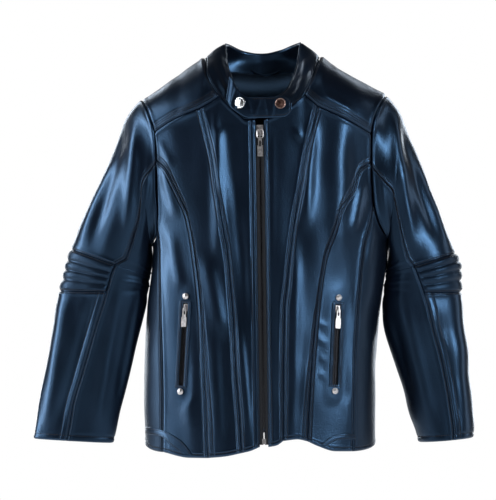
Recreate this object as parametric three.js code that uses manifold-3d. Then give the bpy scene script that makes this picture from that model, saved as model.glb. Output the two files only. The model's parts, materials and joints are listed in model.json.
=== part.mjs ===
// Leather riding jacket, hanging closed. Millimetres, +Z up, the front faces -Y, the wearer's right side is at -X.
// Origin: the middle of the back neck seam, where a hanger carries the jacket.
import * as THREE from "three";
import { mergeVertices } from "three/addons/utils/BufferGeometryUtils.js";
import Module from "manifold-3d";

const wasm = await Module();
wasm.setup();

// ---------------------------------------------------------------- driving dimensions
const GRID = 1.6; // mm, one unit of the sewing pattern's grid
const ORIGIN_U = 262, ORIGIN_V = 68; // pattern grid position of the origin
const SHELL = 0.7; // half thickness of the outer leather
const SEAM = 0.3; // each panel stops this far from its seam line
const ROUND = 2.5; // exponent of the body's cross section
const ROLL = 75; // height over which the shoulders roll over, front and back
const LINING_IN = 9, LINING_T = 0.7; // depth of the lining below the leather, and its thickness
const FRONT_TOP = 92, FRONT_HEM = 112; // depth of the front at the neck and at the hem
const NECK_Z = -93, HEM_Z = -600;
const ZIP_GROOVE = 0.55, ZIP_BAR = 2.6; // half gap between the rows of teeth, width of one row
const ELBOW = 8, ELBOW_END = 11, CUFF = 18; // sleeve sections: top of the pleats, end of the pleats, cuff

const gx = (u) => (u - ORIGIN_U) * GRID, gz = (v) => (ORIGIN_V - v) * GRID;
const lerp = (a, b, t) => a + (b - a) * t;
const RAD = Math.PI / 180;

// ---------------------------------------------------------------- curves
// Monotone cubic through (t, v) knots, flat beyond the ends.
function fn(knots) {
  const t = knots.map((k) => k[0]), v = knots.map((k) => k[1]), n = t.length;
  const h = [], d = [], m = [];
  for (let i = 0; i < n - 1; i++) { h.push(t[i + 1] - t[i]); d.push((v[i + 1] - v[i]) / h[i]); }
  for (let i = 0; i < n; i++) {
    if (i === 0) m.push(d[0]);
    else if (i === n - 1) m.push(d[n - 2]);
    else if (d[i - 1] * d[i] <= 0) m.push(0);
    else {
      const w1 = 2 * h[i] + h[i - 1], w2 = h[i] + 2 * h[i - 1];
      m.push((w1 + w2) / (w1 / d[i - 1] + w2 / d[i]));
    }
  }
  return (s) => {
    if (s <= t[0]) return v[0];
    if (s >= t[n - 1]) return v[n - 1];
    let i = 0;
    while (s > t[i + 1]) i++;
    const q = (s - t[i]) / h[i], q2 = q * q, q3 = q2 * q;
    return (2 * q3 - 3 * q2 + 1) * v[i] + (q3 - 2 * q2 + q) * h[i] * m[i] + (3 * q2 - 2 * q3) * v[i + 1] + (q3 - q2) * h[i] * m[i + 1];
  };
}
// The same points spread evenly along a smooth curve through them, n steps.
function trace(points, n) {
  const s = [0];
  for (let i = 1; i < points.length; i++) s.push(s[i - 1] + Math.hypot(...points[i].map((c, j) => c - points[i - 1][j])));
  const f = points[0].map((_, j) => fn(points.map((p, i) => [s[i], p[j]])));
  return Array.from({ length: n + 1 }, (_, i) => f.map((g) => g((s[s.length - 1] * i) / n)));
}
const join = (...runs) => runs.reduce((a, b) => a.concat(a.length ? b.slice(1) : b), []);
const onGrid = (points) => points.map(([u, v]) => [gx(u), gz(v)]);

// ---------------------------------------------------------------- body surface
const halfLeft = fn([[-640, 116], [-598, 116], [-531, 117], [-492, 117], [-474, 116.8], [-451, 116.3], [-425, 115.6], [-406, 115], [-397, 114.6], [-371, 113.2], [-358, 112.4], [-339, 111], [-307, 109.3], [-280, 109.6], [-256, 112], [-195, 117.5], [-147, 122], [-99, 131], [-51, 146], [20, 152]].map(([z, w]) => [z, w * GRID]));
const halfRight = fn([[-640, 113], [-598, 113], [-474, 113.5], [-454, 114.2], [-426, 114.9], [-397, 116], [-371, 118], [-339, 120.5], [-307, 123], [-281.6, 124.6], [-269, 126], [-253, 126], [-214, 123.5], [-157, 123.5], [-128, 126], [-85, 136], [-56, 147], [-43, 150], [20, 155]].map(([z, w]) => [z, w * GRID]));
const frontDepth = (z) => FRONT_TOP + ((FRONT_HEM - FRONT_TOP) * (NECK_Z - Math.min(z, NECK_Z))) / (NECK_Z - HEM_Z);
const backDepth = fn([[-640, 98], [-600, 98], [-350, 92], [-150, 100], [20, 92]]);
const ridge = fn([[-216, -78], [-208, -70.4], [-200, -60.8], [-190.4, -51.2], [-177.6, -41.6], [-163.2, -32], [-148.8, -22.4], [-132.8, -12.8], [-120, -3.2], [-105.6, 6.4], [-91.2, 14.4], [-60, 13.2], [0, 12], [60, 13.6], [92.8, 16], [110.4, 6.4], [126.4, -3.2], [144, -12.8], [161.6, -22.4], [177.6, -32], [193.6, -41.6], [201.6, -51.2], [209.6, -60.8], [216, -70.4]]);

const half = (x, z) => (x < 0 ? halfLeft(z) : halfRight(z));
const plan = (u) => Math.pow(Math.max(0, 1 - Math.pow(Math.min(1, Math.abs(u)), ROUND)), 1 / ROUND);
function roll(x, z) {
  const t = (ridge(x) - z) / ROLL;
  return t <= 0 ? 0 : t >= 1 ? 1 : Math.sqrt(1 - (1 - t) * (1 - t));
}
// A point of the body surface from its place in the front or the back view.
function flat(x, z, back) {
  const r = plan(x / half(x, z)) * roll(x, z);
  return [x, back ? backDepth(z) * r : -frontDepth(z) * r, z];
}
// The body surface by angle round the body (0 front, +-180 degrees back) and height.
function around([phi, z]) {
  const u = Math.pow(Math.abs(Math.sin(phi)), 2 / ROUND), right = phi > 0;
  const x = (right ? halfRight(z) : -halfLeft(z)) * u, c = Math.cos(phi), r = Math.pow(Math.abs(c), 2 / ROUND) * roll(x, z);
  return [x, (c > 0 ? -frontDepth(z) : backDepth(z)) * r, z];
}
function toAround([x, z], back) {
  const u = Math.min(1, Math.abs(x) / half(x, z)), p = Math.asin(Math.pow(u, ROUND / 2)), q = back ? Math.PI - p : p;
  return [x < 0 ? -q : q, z];
}
// The body surface by x and angle over the shoulder (0 on the ridge, positive in front).
function over([x, s]) {
  const a = Math.abs(s), z = a < Math.PI / 2 ? ridge(x) - ROLL * (1 - Math.cos(a)) : ridge(x) - ROLL * (1 + a - Math.PI / 2);
  const r = plan(x / half(x, z)) * (a < Math.PI / 2 ? Math.sin(a) : 1);
  return [x, s > 0 ? -frontDepth(z) * r : backDepth(z) * r, z];
}
function toOver([x, z], back) {
  const t = Math.max(0, (ridge(x) - z) / ROLL), s = t < 1 ? Math.acos(1 - t) : Math.PI / 2 + (t - 1);
  return [x, back ? -s : s];
}

// ---------------------------------------------------------------- armholes and sleeves
const SIDES = {
  left: {
    sign: -1, top: gz(100.5), bottom: gz(243),
    armhole: fn([[gz(243), -halfLeft(gz(243))], [gz(240.5), gx(154.6)], [gz(235), gx(157.2)], [gz(228), gx(158)], [gz(212), gx(158.5)], [gz(188), gx(157)], [gz(160), gx(157)], [gz(148), gx(156.8)], [gz(128), gx(154)], [gz(116), gx(150)], [gz(100.5), gx(143)]]),
    outer: [[143, 100.5], [136, 107], [126.5, 119.5], [119.5, 137], [110.5, 160], [101, 181.5], [90.5, 205], [80.7, 227], [72, 249.5], [67, 264], [64, 276], [60, 291], [56, 308], [54, 325], [50, 349], [44, 376], [39, 402], [36.3, 424], [34, 438.5]],
    inner: [[151.2, 243.6], [151, 247.5], [151.2, 251], [151.3, 255], [151.3, 259], [150.9, 263], [150.2, 267.5], [149.3, 271.5], [148.7, 276], [148.2, 281.5], [147.7, 286.5], [147.2, 292], [145.7, 309], [141.5, 327], [134.5, 352], [128, 379], [121.2, 406], [117, 428], [113, 443]],
    depth: [57, 56.5, 55, 53, 51, 48.5, 46, 43, 40, 38, 36.5, 35, 33, 31, 29, 26.5, 24, 22.5, 22],
    front: [[0, 83], [1, 93], [2, 103.5], [4, 109], [7, 110.6], [8, 98.5], [11, 94.6], [13, 88.4], [15, 83.8], [16, 81], [18, 80.5]],
  },
  right: {
    sign: 1, top: gz(96.5), bottom: gz(244),
    armhole: fn([[gz(244), halfRight(gz(244))], [gz(240), gx(387)], [gz(236), gx(385)], [gz(226), gx(379)], [gz(205), gx(372.4)], [gz(188), gx(371)], [gz(166), gx(370)], [gz(148), gx(369.6)], [gz(134.6), gx(370.2)], [gz(121), gx(372.7)], [gz(103), gx(380.7)], [gz(96.5), gx(385)]]),
    outer: [[385, 96.5], [391.5, 104], [400.5, 118], [409.5, 139], [418.5, 161.5], [428, 185], [437.5, 209], [448, 233], [455.5, 253], [460.5, 264], [460.3, 277], [459.8, 292], [462, 306], [463.5, 324], [466, 348], [468.8, 374], [472, 398], [473.8, 424], [472.5, 437.5]],
    inner: [[388.6, 244.4], [388.9, 247.6], [388.7, 250.8], [387.9, 254.3], [387.5, 258.5], [387, 262.5], [386.6, 266.5], [386.2, 270.5], [385.8, 274], [385.2, 280], [384.6, 286], [383.8, 292.5], [382.6, 307], [383.8, 325], [390.8, 349], [399.4, 375], [406.6, 399], [415, 427], [419, 442]],
    depth: [57, 56.5, 55.5, 54, 52, 50, 48, 46.5, 45, 44, 43, 42.5, 42, 42, 42, 42, 42, 42, 42],
    front: [[0, 86.7], [1, 100], [2.5, 103.9], [6, 109.4], [7, 109.4], [8, 103], [9, 100.4], [11.3, 86.7], [13.4, 77.3], [15, 73.4], [18, 75.4]],
  },
};
for (const side of Object.values(SIDES)) {
  side.outer = onGrid(side.outer);
  side.inner = onGrid(side.inner);
  side.frontSeam = fn(side.front.map(([k, a]) => [k, a * RAD]));
  side.backSeam = (k) => 2 * Math.PI - fn([[0, 84], [2, 98], [7, 104], [8, 98], [11, 94], [18, 86]].map(([t, a]) => [t, a * RAD]))(k);
}
// The armhole seam on the body: 0 at the shoulder, 90 degrees in front, 180 at the bottom, 270 behind.
function loop(side, angle) {
  const z = lerp(side.top, side.bottom, (1 - Math.cos(angle)) / 2), x = side.armhole(z);
  const p = flat(x, z, Math.sin(angle) < 0);
  if (Math.cos(angle) > 0.9999 || Math.cos(angle) < -0.9999) p[1] = 0;
  return p;
}
const loopXZ = (side, angle) => { const p = loop(side, angle); return [p[0], p[2]]; };
const angleAt = (side, z) => Math.acos(1 - (2 * (z - side.top)) / (side.bottom - side.top));
function section(side, k, angle) {
  if (k === 0) { const p = loop(side, angle); return [p[0] + side.sign * 2.6, p[1], p[2]]; }
  const o = side.outer[k], i = side.inner[k], c = Math.cos(angle);
  return [(o[0] + i[0]) / 2 + ((o[0] - i[0]) / 2) * c, -side.depth[k] * Math.sin(angle), (o[1] + i[1]) / 2 + ((o[1] - i[1]) / 2) * c];
}
// The sleeve surface: k counts the sections from the armhole to the cuff.
function sleeve(side, k, angle) {
  const k0 = Math.floor(Math.min(Math.max(k, 0), CUFF - 1e-9)), f = k - k0;
  if (f < 1e-9) return section(side, k0, angle);
  const p = [-1, 0, 1, 2].map((d) => section(side, Math.min(CUFF, Math.max(0, k0 + d)), angle));
  return p[1].map((_, c) => {
    const m1 = (p[2][c] - p[0][c]) / 2, m2 = (p[3][c] - p[1][c]) / 2, f2 = f * f, f3 = f2 * f;
    return (2 * f3 - 3 * f2 + 1) * p[1][c] + (f3 - 2 * f2 + f) * m1 + (3 * f2 - 2 * f3) * p[2][c] + (f3 - f2) * m2;
  });
}

// ---------------------------------------------------------------- meshes
const v3 = (p) => new THREE.Vector3(p[0], p[1], p[2]);
const root = new THREE.Group();
root.name = "riding_jacket";
const MATERIALS = {
  leather: { color: 0x15171f, roughness: 0.42, metalness: 0.0 },
  leather_side: { color: 0x12141b, roughness: 0.48, metalness: 0.0 },
  lining: { color: 0x0b0b0e, roughness: 0.7, metalness: 0.0 },
  tape: { color: 0x101116, roughness: 0.8, metalness: 0.0 },
  nickel: { color: 0x8f8a80, roughness: 0.35, metalness: 1.0 },
  bronze: { color: 0x7a5a40, roughness: 0.38, metalness: 1.0 },
  silver: { color: 0xc9cacd, roughness: 0.3, metalness: 1.0 },
};
const solids = new Map();
function put(name, geometry, finish) {
  const mesh = new THREE.Mesh(geometry, new THREE.MeshStandardMaterial(MATERIALS[finish]));
  mesh.name = name;
  root.add(mesh);
  solids.set(name, geometry);
  return mesh;
}
function geometryOf(positions, faces) {
  let volume = 0;
  for (const [a, b, c] of faces) volume += positions[a].dot(new THREE.Vector3().crossVectors(positions[b], positions[c]));
  const out = [];
  for (const [a, b, c] of faces) for (const i of volume < 0 ? [a, c, b] : [a, b, c]) out.push(positions[i].x, positions[i].y, positions[i].z);
  const g = new THREE.BufferGeometry().setAttribute("position", new THREE.Float32BufferAttribute(out, 3));
  g.computeVertexNormals();
  return g;
}
// A sheet between two offsets of a grid of points with normals; wrapped closes it round in i.
function sheet(grid, low, high, wrapped = false) {
  const I = grid.length, J = grid[0].length, positions = [], faces = [];
  const id = (i, j, s) => ((i % I) * J + j) * 2 + s;
  for (const column of grid) for (const { p, n } of column) positions.push(p.clone().addScaledVector(n, high), p.clone().addScaledVector(n, low));
  const quad = (a, b, c, d) => {
    if (positions[a].distanceTo(positions[c]) <= positions[b].distanceTo(positions[d])) faces.push([a, b, c], [a, c, d]);
    else faces.push([a, b, d], [b, c, d]);
  };
  const last = wrapped ? I : I - 1;
  for (let i = 0; i < last; i++) for (let j = 0; j < J - 1; j++) {
    quad(id(i, j, 0), id(i + 1, j, 0), id(i + 1, j + 1, 0), id(i, j + 1, 0));
    quad(id(i, j + 1, 1), id(i + 1, j + 1, 1), id(i + 1, j, 1), id(i, j, 1));
  }
  for (let i = 0; i < last; i++) {
    quad(id(i, 0, 1), id(i + 1, 0, 1), id(i + 1, 0, 0), id(i, 0, 0));
    quad(id(i, J - 1, 0), id(i + 1, J - 1, 0), id(i + 1, J - 1, 1), id(i, J - 1, 1));
  }
  if (!wrapped) for (let j = 0; j < J - 1; j++) {
    quad(id(0, j, 0), id(0, j + 1, 0), id(0, j + 1, 1), id(0, j, 1));
    quad(id(I - 1, j, 1), id(I - 1, j + 1, 1), id(I - 1, j + 1, 0), id(I - 1, j, 0));
  }
  return geometryOf(positions, faces);
}
// Points and outward normals of a surface at a grid of its parameters.
function lift(surface, domain, step, inwardOf) {
  return domain.map((column) => column.map((q) => {
    const e = step, f = (a, b) => v3(surface([q[0] + a, q[1] + b]));
    const n = new THREE.Vector3().crossVectors(f(e[0], 0).sub(f(-e[0], 0)), f(0, e[1]).sub(f(0, -e[1]))).normalize();
    const p = v3(surface(q));
    if (n.dot(p.clone().sub(inwardOf(p))) < 0) n.negate();
    return { p, n };
  }));
}
const spine = (p) => new THREE.Vector3(Math.max(-120, Math.min(120, p.x)) * 0.6, 0, Math.min(p.z, -60) - 20);
// Four boundary runs of parameters blended into a grid (top and bottom run in i, left and right in j).
function coons(top, bottom, left, right) {
  const N = top.length - 1, M = left.length - 1;
  return Array.from({ length: N + 1 }, (_, i) => Array.from({ length: M + 1 }, (_, j) => {
    const a = i / N, b = j / M;
    return [0, 1].map((c) => (1 - b) * top[i][c] + b * bottom[i][c] + (1 - a) * left[j][c] + a * right[j][c] -
      ((1 - a) * (1 - b) * top[0][c] + a * (1 - b) * top[N][c] + (1 - a) * b * bottom[0][c] + a * b * bottom[N][c]));
  }));
}
// Moves the edges of a grid inward by the seam allowance.
function inset(grid, gap = SEAM, wrapped = false) {
  const I = grid.length - 1, J = grid[0].length - 1, moved = grid.map((c) => c.map((q) => ({ p: q.p.clone(), n: q.n })));
  const pull = (i, j, i2, j2) => moved[i][j].p.addScaledVector(grid[i2][j2].p.clone().sub(grid[i][j].p).normalize(), gap);
  if (!wrapped) for (let j = 0; j <= J; j++) { pull(0, j, 1, j); pull(I, j, I - 1, j); }
  for (let i = 0; i <= I; i++) { pull(i, 0, i, 1); pull(i, J, i, J - 1); }
  return moved;
}
const bodyPanel = (top, bottom, left, right) => inset(lift(around, coons(top, bottom, left, right), [0.01, 1], spine));
const shoulderPanel = (top, bottom, left, right) => inset(lift(over, coons(top, bottom, left, right), [1, 0.01], spine));
const front = (run) => run.map((q) => toAround(q, false)), rear = (run) => run.map((q) => toAround(q, true));
const frontOver = (run) => run.map((q) => toOver(q, false)), rearOver = (run) => run.map((q) => toOver(q, true));
const arc = (side, from, to, n) => Array.from({ length: n + 1 }, (_, i) => loopXZ(side, lerp(from, to, i / n)));

// ---------------------------------------------------------------- front fastening line
const ZIP_TOP = [gx(259.6), gz(126)], ZIP_END = [gx(263.9), gz(443)];
const zipX = (z) => lerp(ZIP_TOP[0], ZIP_END[0], (z - ZIP_TOP[1]) / (ZIP_END[1] - ZIP_TOP[1]));
const EDGE = 6.6; // each front edge stands this far from the middle of the zip

// ---------------------------------------------------------------- seams
const L = SIDES.left, R = SIDES.right;
const frontEdge = (sign, topV, hemV, n) => Array.from({ length: n + 1 }, (_, i) => { const z = lerp(gz(topV), gz(hemV), i / n); return [zipX(z) + sign * EDGE, z]; });
const ROWS = 12;
const S = {
  neckL: trace(onGrid([[255.5, 120.6], [246, 121], [237, 114], [228, 106.5], [220, 98]]), 3),
  neckR: trace(onGrid([[263.8, 120.8], [278, 115], [291, 107], [303.5, 96]]), 3),
  neckSideL: trace(onGrid([[205, 59], [206.5, 72], [212, 86], [220, 98]]), 3),
  neckSideR: trace(onGrid([[320, 58], [312, 78], [303.5, 96]]), 3),
  yokeInL: trace(onGrid([[220, 98], [210, 104.3], [200, 110]]), 1),
  yokeOutL: trace(onGrid([[200, 110], [175, 120.5], [155, 133]]), 3),
  yokeInR: trace(onGrid([[303.5, 96], [316.5, 107.5]]), 1),
  yokeOutR: trace(onGrid([[316.5, 107.5], [345, 120.5], [370.2, 134.6]]), 3),
  innerL: trace(onGrid([[200, 110], [206, 131], [213, 160], [217, 188], [222, 218], [228, 257], [231, 290], [234, 330], [236, 370], [240, 421], [241.5, 450]]), ROWS),
  innerR: trace(onGrid([[316.5, 107.5], [306, 152], [300, 188], [294, 220], [289, 259], [286, 289], [284, 306], [283.4, 340], [283, 380], [283, 438]]), ROWS),
  outerL: trace(onGrid([[157, 161], [168, 171], [175, 185], [182, 200], [188, 213], [193, 235], [197, 261], [200, 285], [203, 323], [204.5, 369], [206.5, 410], [208, 455]]), ROWS),
  outerR: trace(onGrid([[369.9, 163], [359, 170], [349, 193], [338, 210], [331, 232], [322, 259], [317.5, 289], [313, 333], [309, 390], [307, 438.5]]), ROWS),
  sideL: trace(onGrid([[158, 228], [160.5, 250], [161.5, 285], [163, 346], [164, 392], [164, 450]]), 9),
  sideR: trace(onGrid([[372.4, 205], [370.6, 218], [363, 244], [358, 290], [354, 340], [352, 386], [351, 449]]), 9),
};
S.armYokeL = arc(L, 0, angleAt(L, gz(133)), 3);
S.armMidL = arc(L, angleAt(L, gz(133)), angleAt(L, gz(161)), 2);
S.armSideL = arc(L, angleAt(L, gz(161)), angleAt(L, gz(228)), 3);
S.armYokeR = arc(R, 0, angleAt(R, gz(134.6)), 3);
S.armMidR = arc(R, angleAt(R, gz(134.6)), angleAt(R, gz(163)), 2);
S.armSideR = arc(R, angleAt(R, gz(163)), angleAt(R, gz(205)), 3);
S.yokeOutL[3] = S.armYokeL[3]; S.yokeOutR[3] = S.armYokeR[3];
S.outerL[0] = S.armMidL[2]; S.outerR[0] = S.armMidR[2];
S.sideL[0] = S.armSideL[3]; S.sideR[0] = S.armSideR[3];
const hemRun = (points, n) => trace(onGrid(points), n);
const HEM = {
  centreL: hemRun([[259.9, 443.8], [250, 448], [241.5, 450]], 4),
  midL: hemRun([[241.5, 450], [225, 453.4], [208, 455]], 5),
  sideL: hemRun([[208, 455], [190, 455], [164, 450]], 6),
  centreR: hemRun([[268.1, 444], [276, 442.5], [283, 438]], 4),
  midR: hemRun([[283, 438], [297, 436.5], [307, 438.5]], 5),
  sideR: hemRun([[307, 438.5], [318, 443.5], [334, 448.5], [351, 449]], 6),
};

// ---------------------------------------------------------------- front panels
const panels = {};
function makePanel(name, grid, finish = "leather") { panels[name] = grid; return put(name, sheet(grid, -SHELL, SHELL), finish); }
const rowsOf = (run, n) => trace(run, n);
const yokeRunL = frontOver(join(S.yokeInL, S.yokeOutL)), yokeRunR = frontOver(join(S.yokeInR, S.yokeOutR));
const ridgeBackL = trace(onGrid([[205.5, 59.8], [176, 79.4], [143.4, 101.4]]), 4).map(([x]) => [x, -0.32]);
const ridgeBackR = trace(onGrid([[319.6, 59], [352, 77], [384.7, 97]]), 4).map(([x]) => [x, -0.32]);
function shoulderEdge(run, corner) { return [corner, ...frontOver(run)]; }
makePanel("yoke_left", shoulderPanel(ridgeBackL, yokeRunL, shoulderEdge(S.neckSideL, ridgeBackL[0]), shoulderEdge(S.armYokeL, ridgeBackL[4])));
makePanel("yoke_right", shoulderPanel(ridgeBackR, yokeRunR, shoulderEdge(S.neckSideR, ridgeBackR[0]), shoulderEdge(S.armYokeR, ridgeBackR[4])));
makePanel("front_centre_left", bodyPanel(front(join(S.neckL, S.yokeInL)), front(HEM.centreL), front(frontEdge(-1, 120.6, 443.8, ROWS)), front(S.innerL)));
makePanel("front_centre_right", bodyPanel(front(join(S.neckR, S.yokeInR)), front(HEM.centreR), front(frontEdge(1, 120.8, 444, ROWS)), front(S.innerR)));
makePanel("front_middle_left", bodyPanel(front(join(S.yokeOutL, S.armMidL)), front(HEM.midL), front(S.innerL), front(S.outerL)));
makePanel("front_middle_right", bodyPanel(front(join(S.yokeOutR, S.armMidR)), front(HEM.midR), front(S.innerR), front(S.outerR)));

const armStartL = loopXZ(L, angleAt(L, gz(161) - 6)), armStartR = loopXZ(R, angleAt(R, gz(163) - 6));
const sideFrontL = join([armStartL, ...S.armSideL.slice(1)], S.sideL), sideFrontR = join([armStartR, ...S.armSideR.slice(1)], S.sideR);
const line2 = (a, b, n) => Array.from({ length: n + 1 }, (_, i) => a.map((c, j) => lerp(c, b[j], i / n)));
makePanel("front_side_left", bodyPanel(line2(...front([S.outerL[0], armStartL]), 3), front(rowsOf(HEM.sideL, 3)), front(S.outerL), front(sideFrontL)));
makePanel("front_side_right", bodyPanel(line2(...front([S.outerR[0], armStartR]), 3), front(rowsOf(HEM.sideR, 3)), front(S.outerR), front(sideFrontR)));

// ---------------------------------------------------------------- sides and back
const HEM_BACK = gz(435);
function sidePanel(side, seam, hemZ) {
  const a = angleAt(side, seam[0][1]), sgn = side.sign, N = 8;
  const top = Array.from({ length: N + 1 }, (_, i) => {
    const t = lerp(a, 2 * Math.PI - a, i / N), p = loop(side, t);
    const q = toAround([p[0], p[2]], Math.sin(t) < 0);
    return i * 2 === N ? [sgn * Math.PI / 2, q[1]] : q;
  });
  const frontRun = front(seam), backRun = frontRun.map(([phi, z], i) => [sgn * (Math.PI - Math.abs(phi)), lerp(z, lerp(seam[0][1], HEM_BACK, i / (seam.length - 1)), 1)]);
  const bottom = Array.from({ length: N + 1 }, (_, i) => [lerp(frontRun.at(-1)[0], backRun.at(-1)[0], i / N), lerp(seam.at(-1)[1], HEM_BACK, (1 - Math.cos((Math.PI * i) / N)) / 2)]);
  return [bodyPanel(top, bottom, frontRun, backRun), backRun];
}
const [sideGridL, backSideL] = sidePanel(L, S.sideL), [sideGridR, backSideR] = sidePanel(R, S.sideR);
makePanel("side_left", sideGridL, "leather_side");
makePanel("side_right", sideGridR, "leather_side");
const YOKE_BACK = gz(150);
const backArm = (side, z0, z1, n) => Array.from({ length: n + 1 }, (_, i) => { const p = loop(side, 2 * Math.PI - lerp(angleAt(side, z0), angleAt(side, z1), i / n)); return [p[0], p[2]]; });
const zRidge = (x) => over([x, -0.32])[2];
{
  const neck = trace([[-90.5, -0.32], [-75, -0.34], [-45, -0.53], [0, -0.58], [45, -0.53], [77, -0.34], [91.4, -0.32]], 6);
  const top = [...ridgeBackL.slice(1).reverse().filter((_, i) => i % 2 === 0), ...neck, ...ridgeBackR.slice(1).filter((_, i) => i % 2 === 1)];
  top[0] = ridgeBackL[4]; top[top.length - 1] = ridgeBackR[4];
  const N = top.length - 1, xl = backArm(L, YOKE_BACK, YOKE_BACK, 1)[0][0], xr = backArm(R, YOKE_BACK, YOKE_BACK, 1)[0][0];
  const bottom = Array.from({ length: N + 1 }, (_, i) => toOver([lerp(xl, xr, i / N), YOKE_BACK], true));
  const edge = (side, corner) => [corner, ...rearOver(backArm(side, corner[2], YOKE_BACK, 4)).slice(1)];
  makePanel("back_yoke", shoulderPanel(top, bottom, edge(L, [...ridgeBackL[4], zRidge(ridgeBackL[4][0])]), edge(R, [...ridgeBackR[4], zRidge(ridgeBackR[4][0])])));
}
for (const [name, side, seam, sgn] of [["back_left", L, backSideL, -1], ["back_right", R, backSideR, 1]]) {
  const arm = rear(backArm(side, YOKE_BACK, seam[0][1], 3)), N = 5, outer = join(arm, seam), M = outer.length - 1;
  const corner = arm[0], centre = sgn * (Math.PI - 0.0001);
  const top = Array.from({ length: N + 1 }, (_, i) => toAround([lerp(gx(261.5 + (sgn > 0 ? 1 : 0)) * 0, backArm(side, YOKE_BACK, YOKE_BACK, 1)[0][0], i / N), YOKE_BACK], true));
  top[0] = [centre, YOKE_BACK]; top[N] = corner;
  const inner = Array.from({ length: M + 1 }, (_, j) => [centre, lerp(YOKE_BACK, HEM_BACK, j / M)]);
  const bottom = Array.from({ length: N + 1 }, (_, i) => { const x = lerp(0, around(outer[M])[0], i / N); return i === 0 ? [centre, HEM_BACK] : i === N ? outer[M] : toAround([x, HEM_BACK], true); });
  for (const run of [top, bottom, inner, outer]) for (const q of run) if (q[0] * sgn < 0) q[0] = -q[0];
  makePanel(name, bodyPanel(top, bottom, inner, outer));
}

// ---------------------------------------------------------------- collar
const COLLAR = [ // neck seam (x, z, behind) and top edge (x, y, z), from the left front end round the back
  [[-8, gz(120.6), 0], [-8, -82, gz(99.6)]], [[gx(246), gz(121), 0], [gx(246), -79, gz(98.5)]],
  [[gx(237), gz(114), 0], [gx(238.5), -70, gz(91)]], [[gx(228), gz(106.5), 0], [gx(233.5), -57, gz(82)]],
  [[gx(220), gz(98), 0], [gx(230.5), -44, gz(74)]], [[gx(212), gz(86), 0], [gx(228.3), -29, gz(64)]],
  [[gx(206.5), gz(72), 0], [gx(226.8), -12, gz(53)]], [[-91.2, 14.3, 0], [gx(226), 6, gz(43)]],
  [[-75, 10, 1], [gx(232), 29, gz(45)]], [[-45, 3, 1], [gx(245), 45, gz(50)]], [[0, 0, 1], [0, 51, gz(52)]],
  [[45, 3, 1], [gx(280), 45, gz(49)]], [[77, 10, 1], [gx(293), 29, gz(44)]], [[92.6, 15.8, 0], [gx(300), 6, gz(42)]],
  [[gx(314), gz(72), 0], [gx(297.5), -12, gz(57)]], [[gx(310), gz(83), 0], [gx(294.5), -30, gz(72)]],
  [[gx(303.5), gz(96), 0], [gx(289), -47, gz(84)]], [[gx(291), gz(107), 0], [gx(283), -64, gz(93)]],
  [[gx(278), gz(115), 0], [gx(274), -77, gz(98.5)]], [[9, gz(120.8), 0], [9, -82, gz(99.6)]],
].map(([neck, top]) => [flat(neck[0], neck[1], neck[2] === 1), top]);
const neckAt = [0, 1, 2].map((c) => fn(COLLAR.map(([p], i) => [i, p[c]]))), topAt = [0, 1, 2].map((c) => fn(COLLAR.map(([, p], i) => [i, p[c]])));
const collarAt = ([a, b]) => { const bulge = 3 * Math.sin(Math.PI * b); const p = [0, 1, 2].map((c) => lerp(neckAt[c](a), topAt[c](a), b)), r = Math.hypot(p[0], p[1]) || 1; return [p[0] + (bulge * p[0]) / r, p[1] + (bulge * p[1]) / r, p[2]]; };
const axisIn = (p) => new THREE.Vector3(0, 0, p.z - 40);
const collarGrid = (b0, b1, n) => Array.from({ length: 31 }, (_, i) => Array.from({ length: n + 1 }, (_, j) => [(i / 30) * 19, lerp(b0, b1, j / n)]));
put("collar_outer", sheet(lift(collarAt, collarGrid(0.08, 1, 3), [0.01, 0.01], axisIn), -1.1, 0.3), "leather");
put("collar_facing", sheet(lift(collarAt, collarGrid(0.12, 0.96, 3), [0.01, 0.01], axisIn), -5.6, -4.6), "leather");

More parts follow.
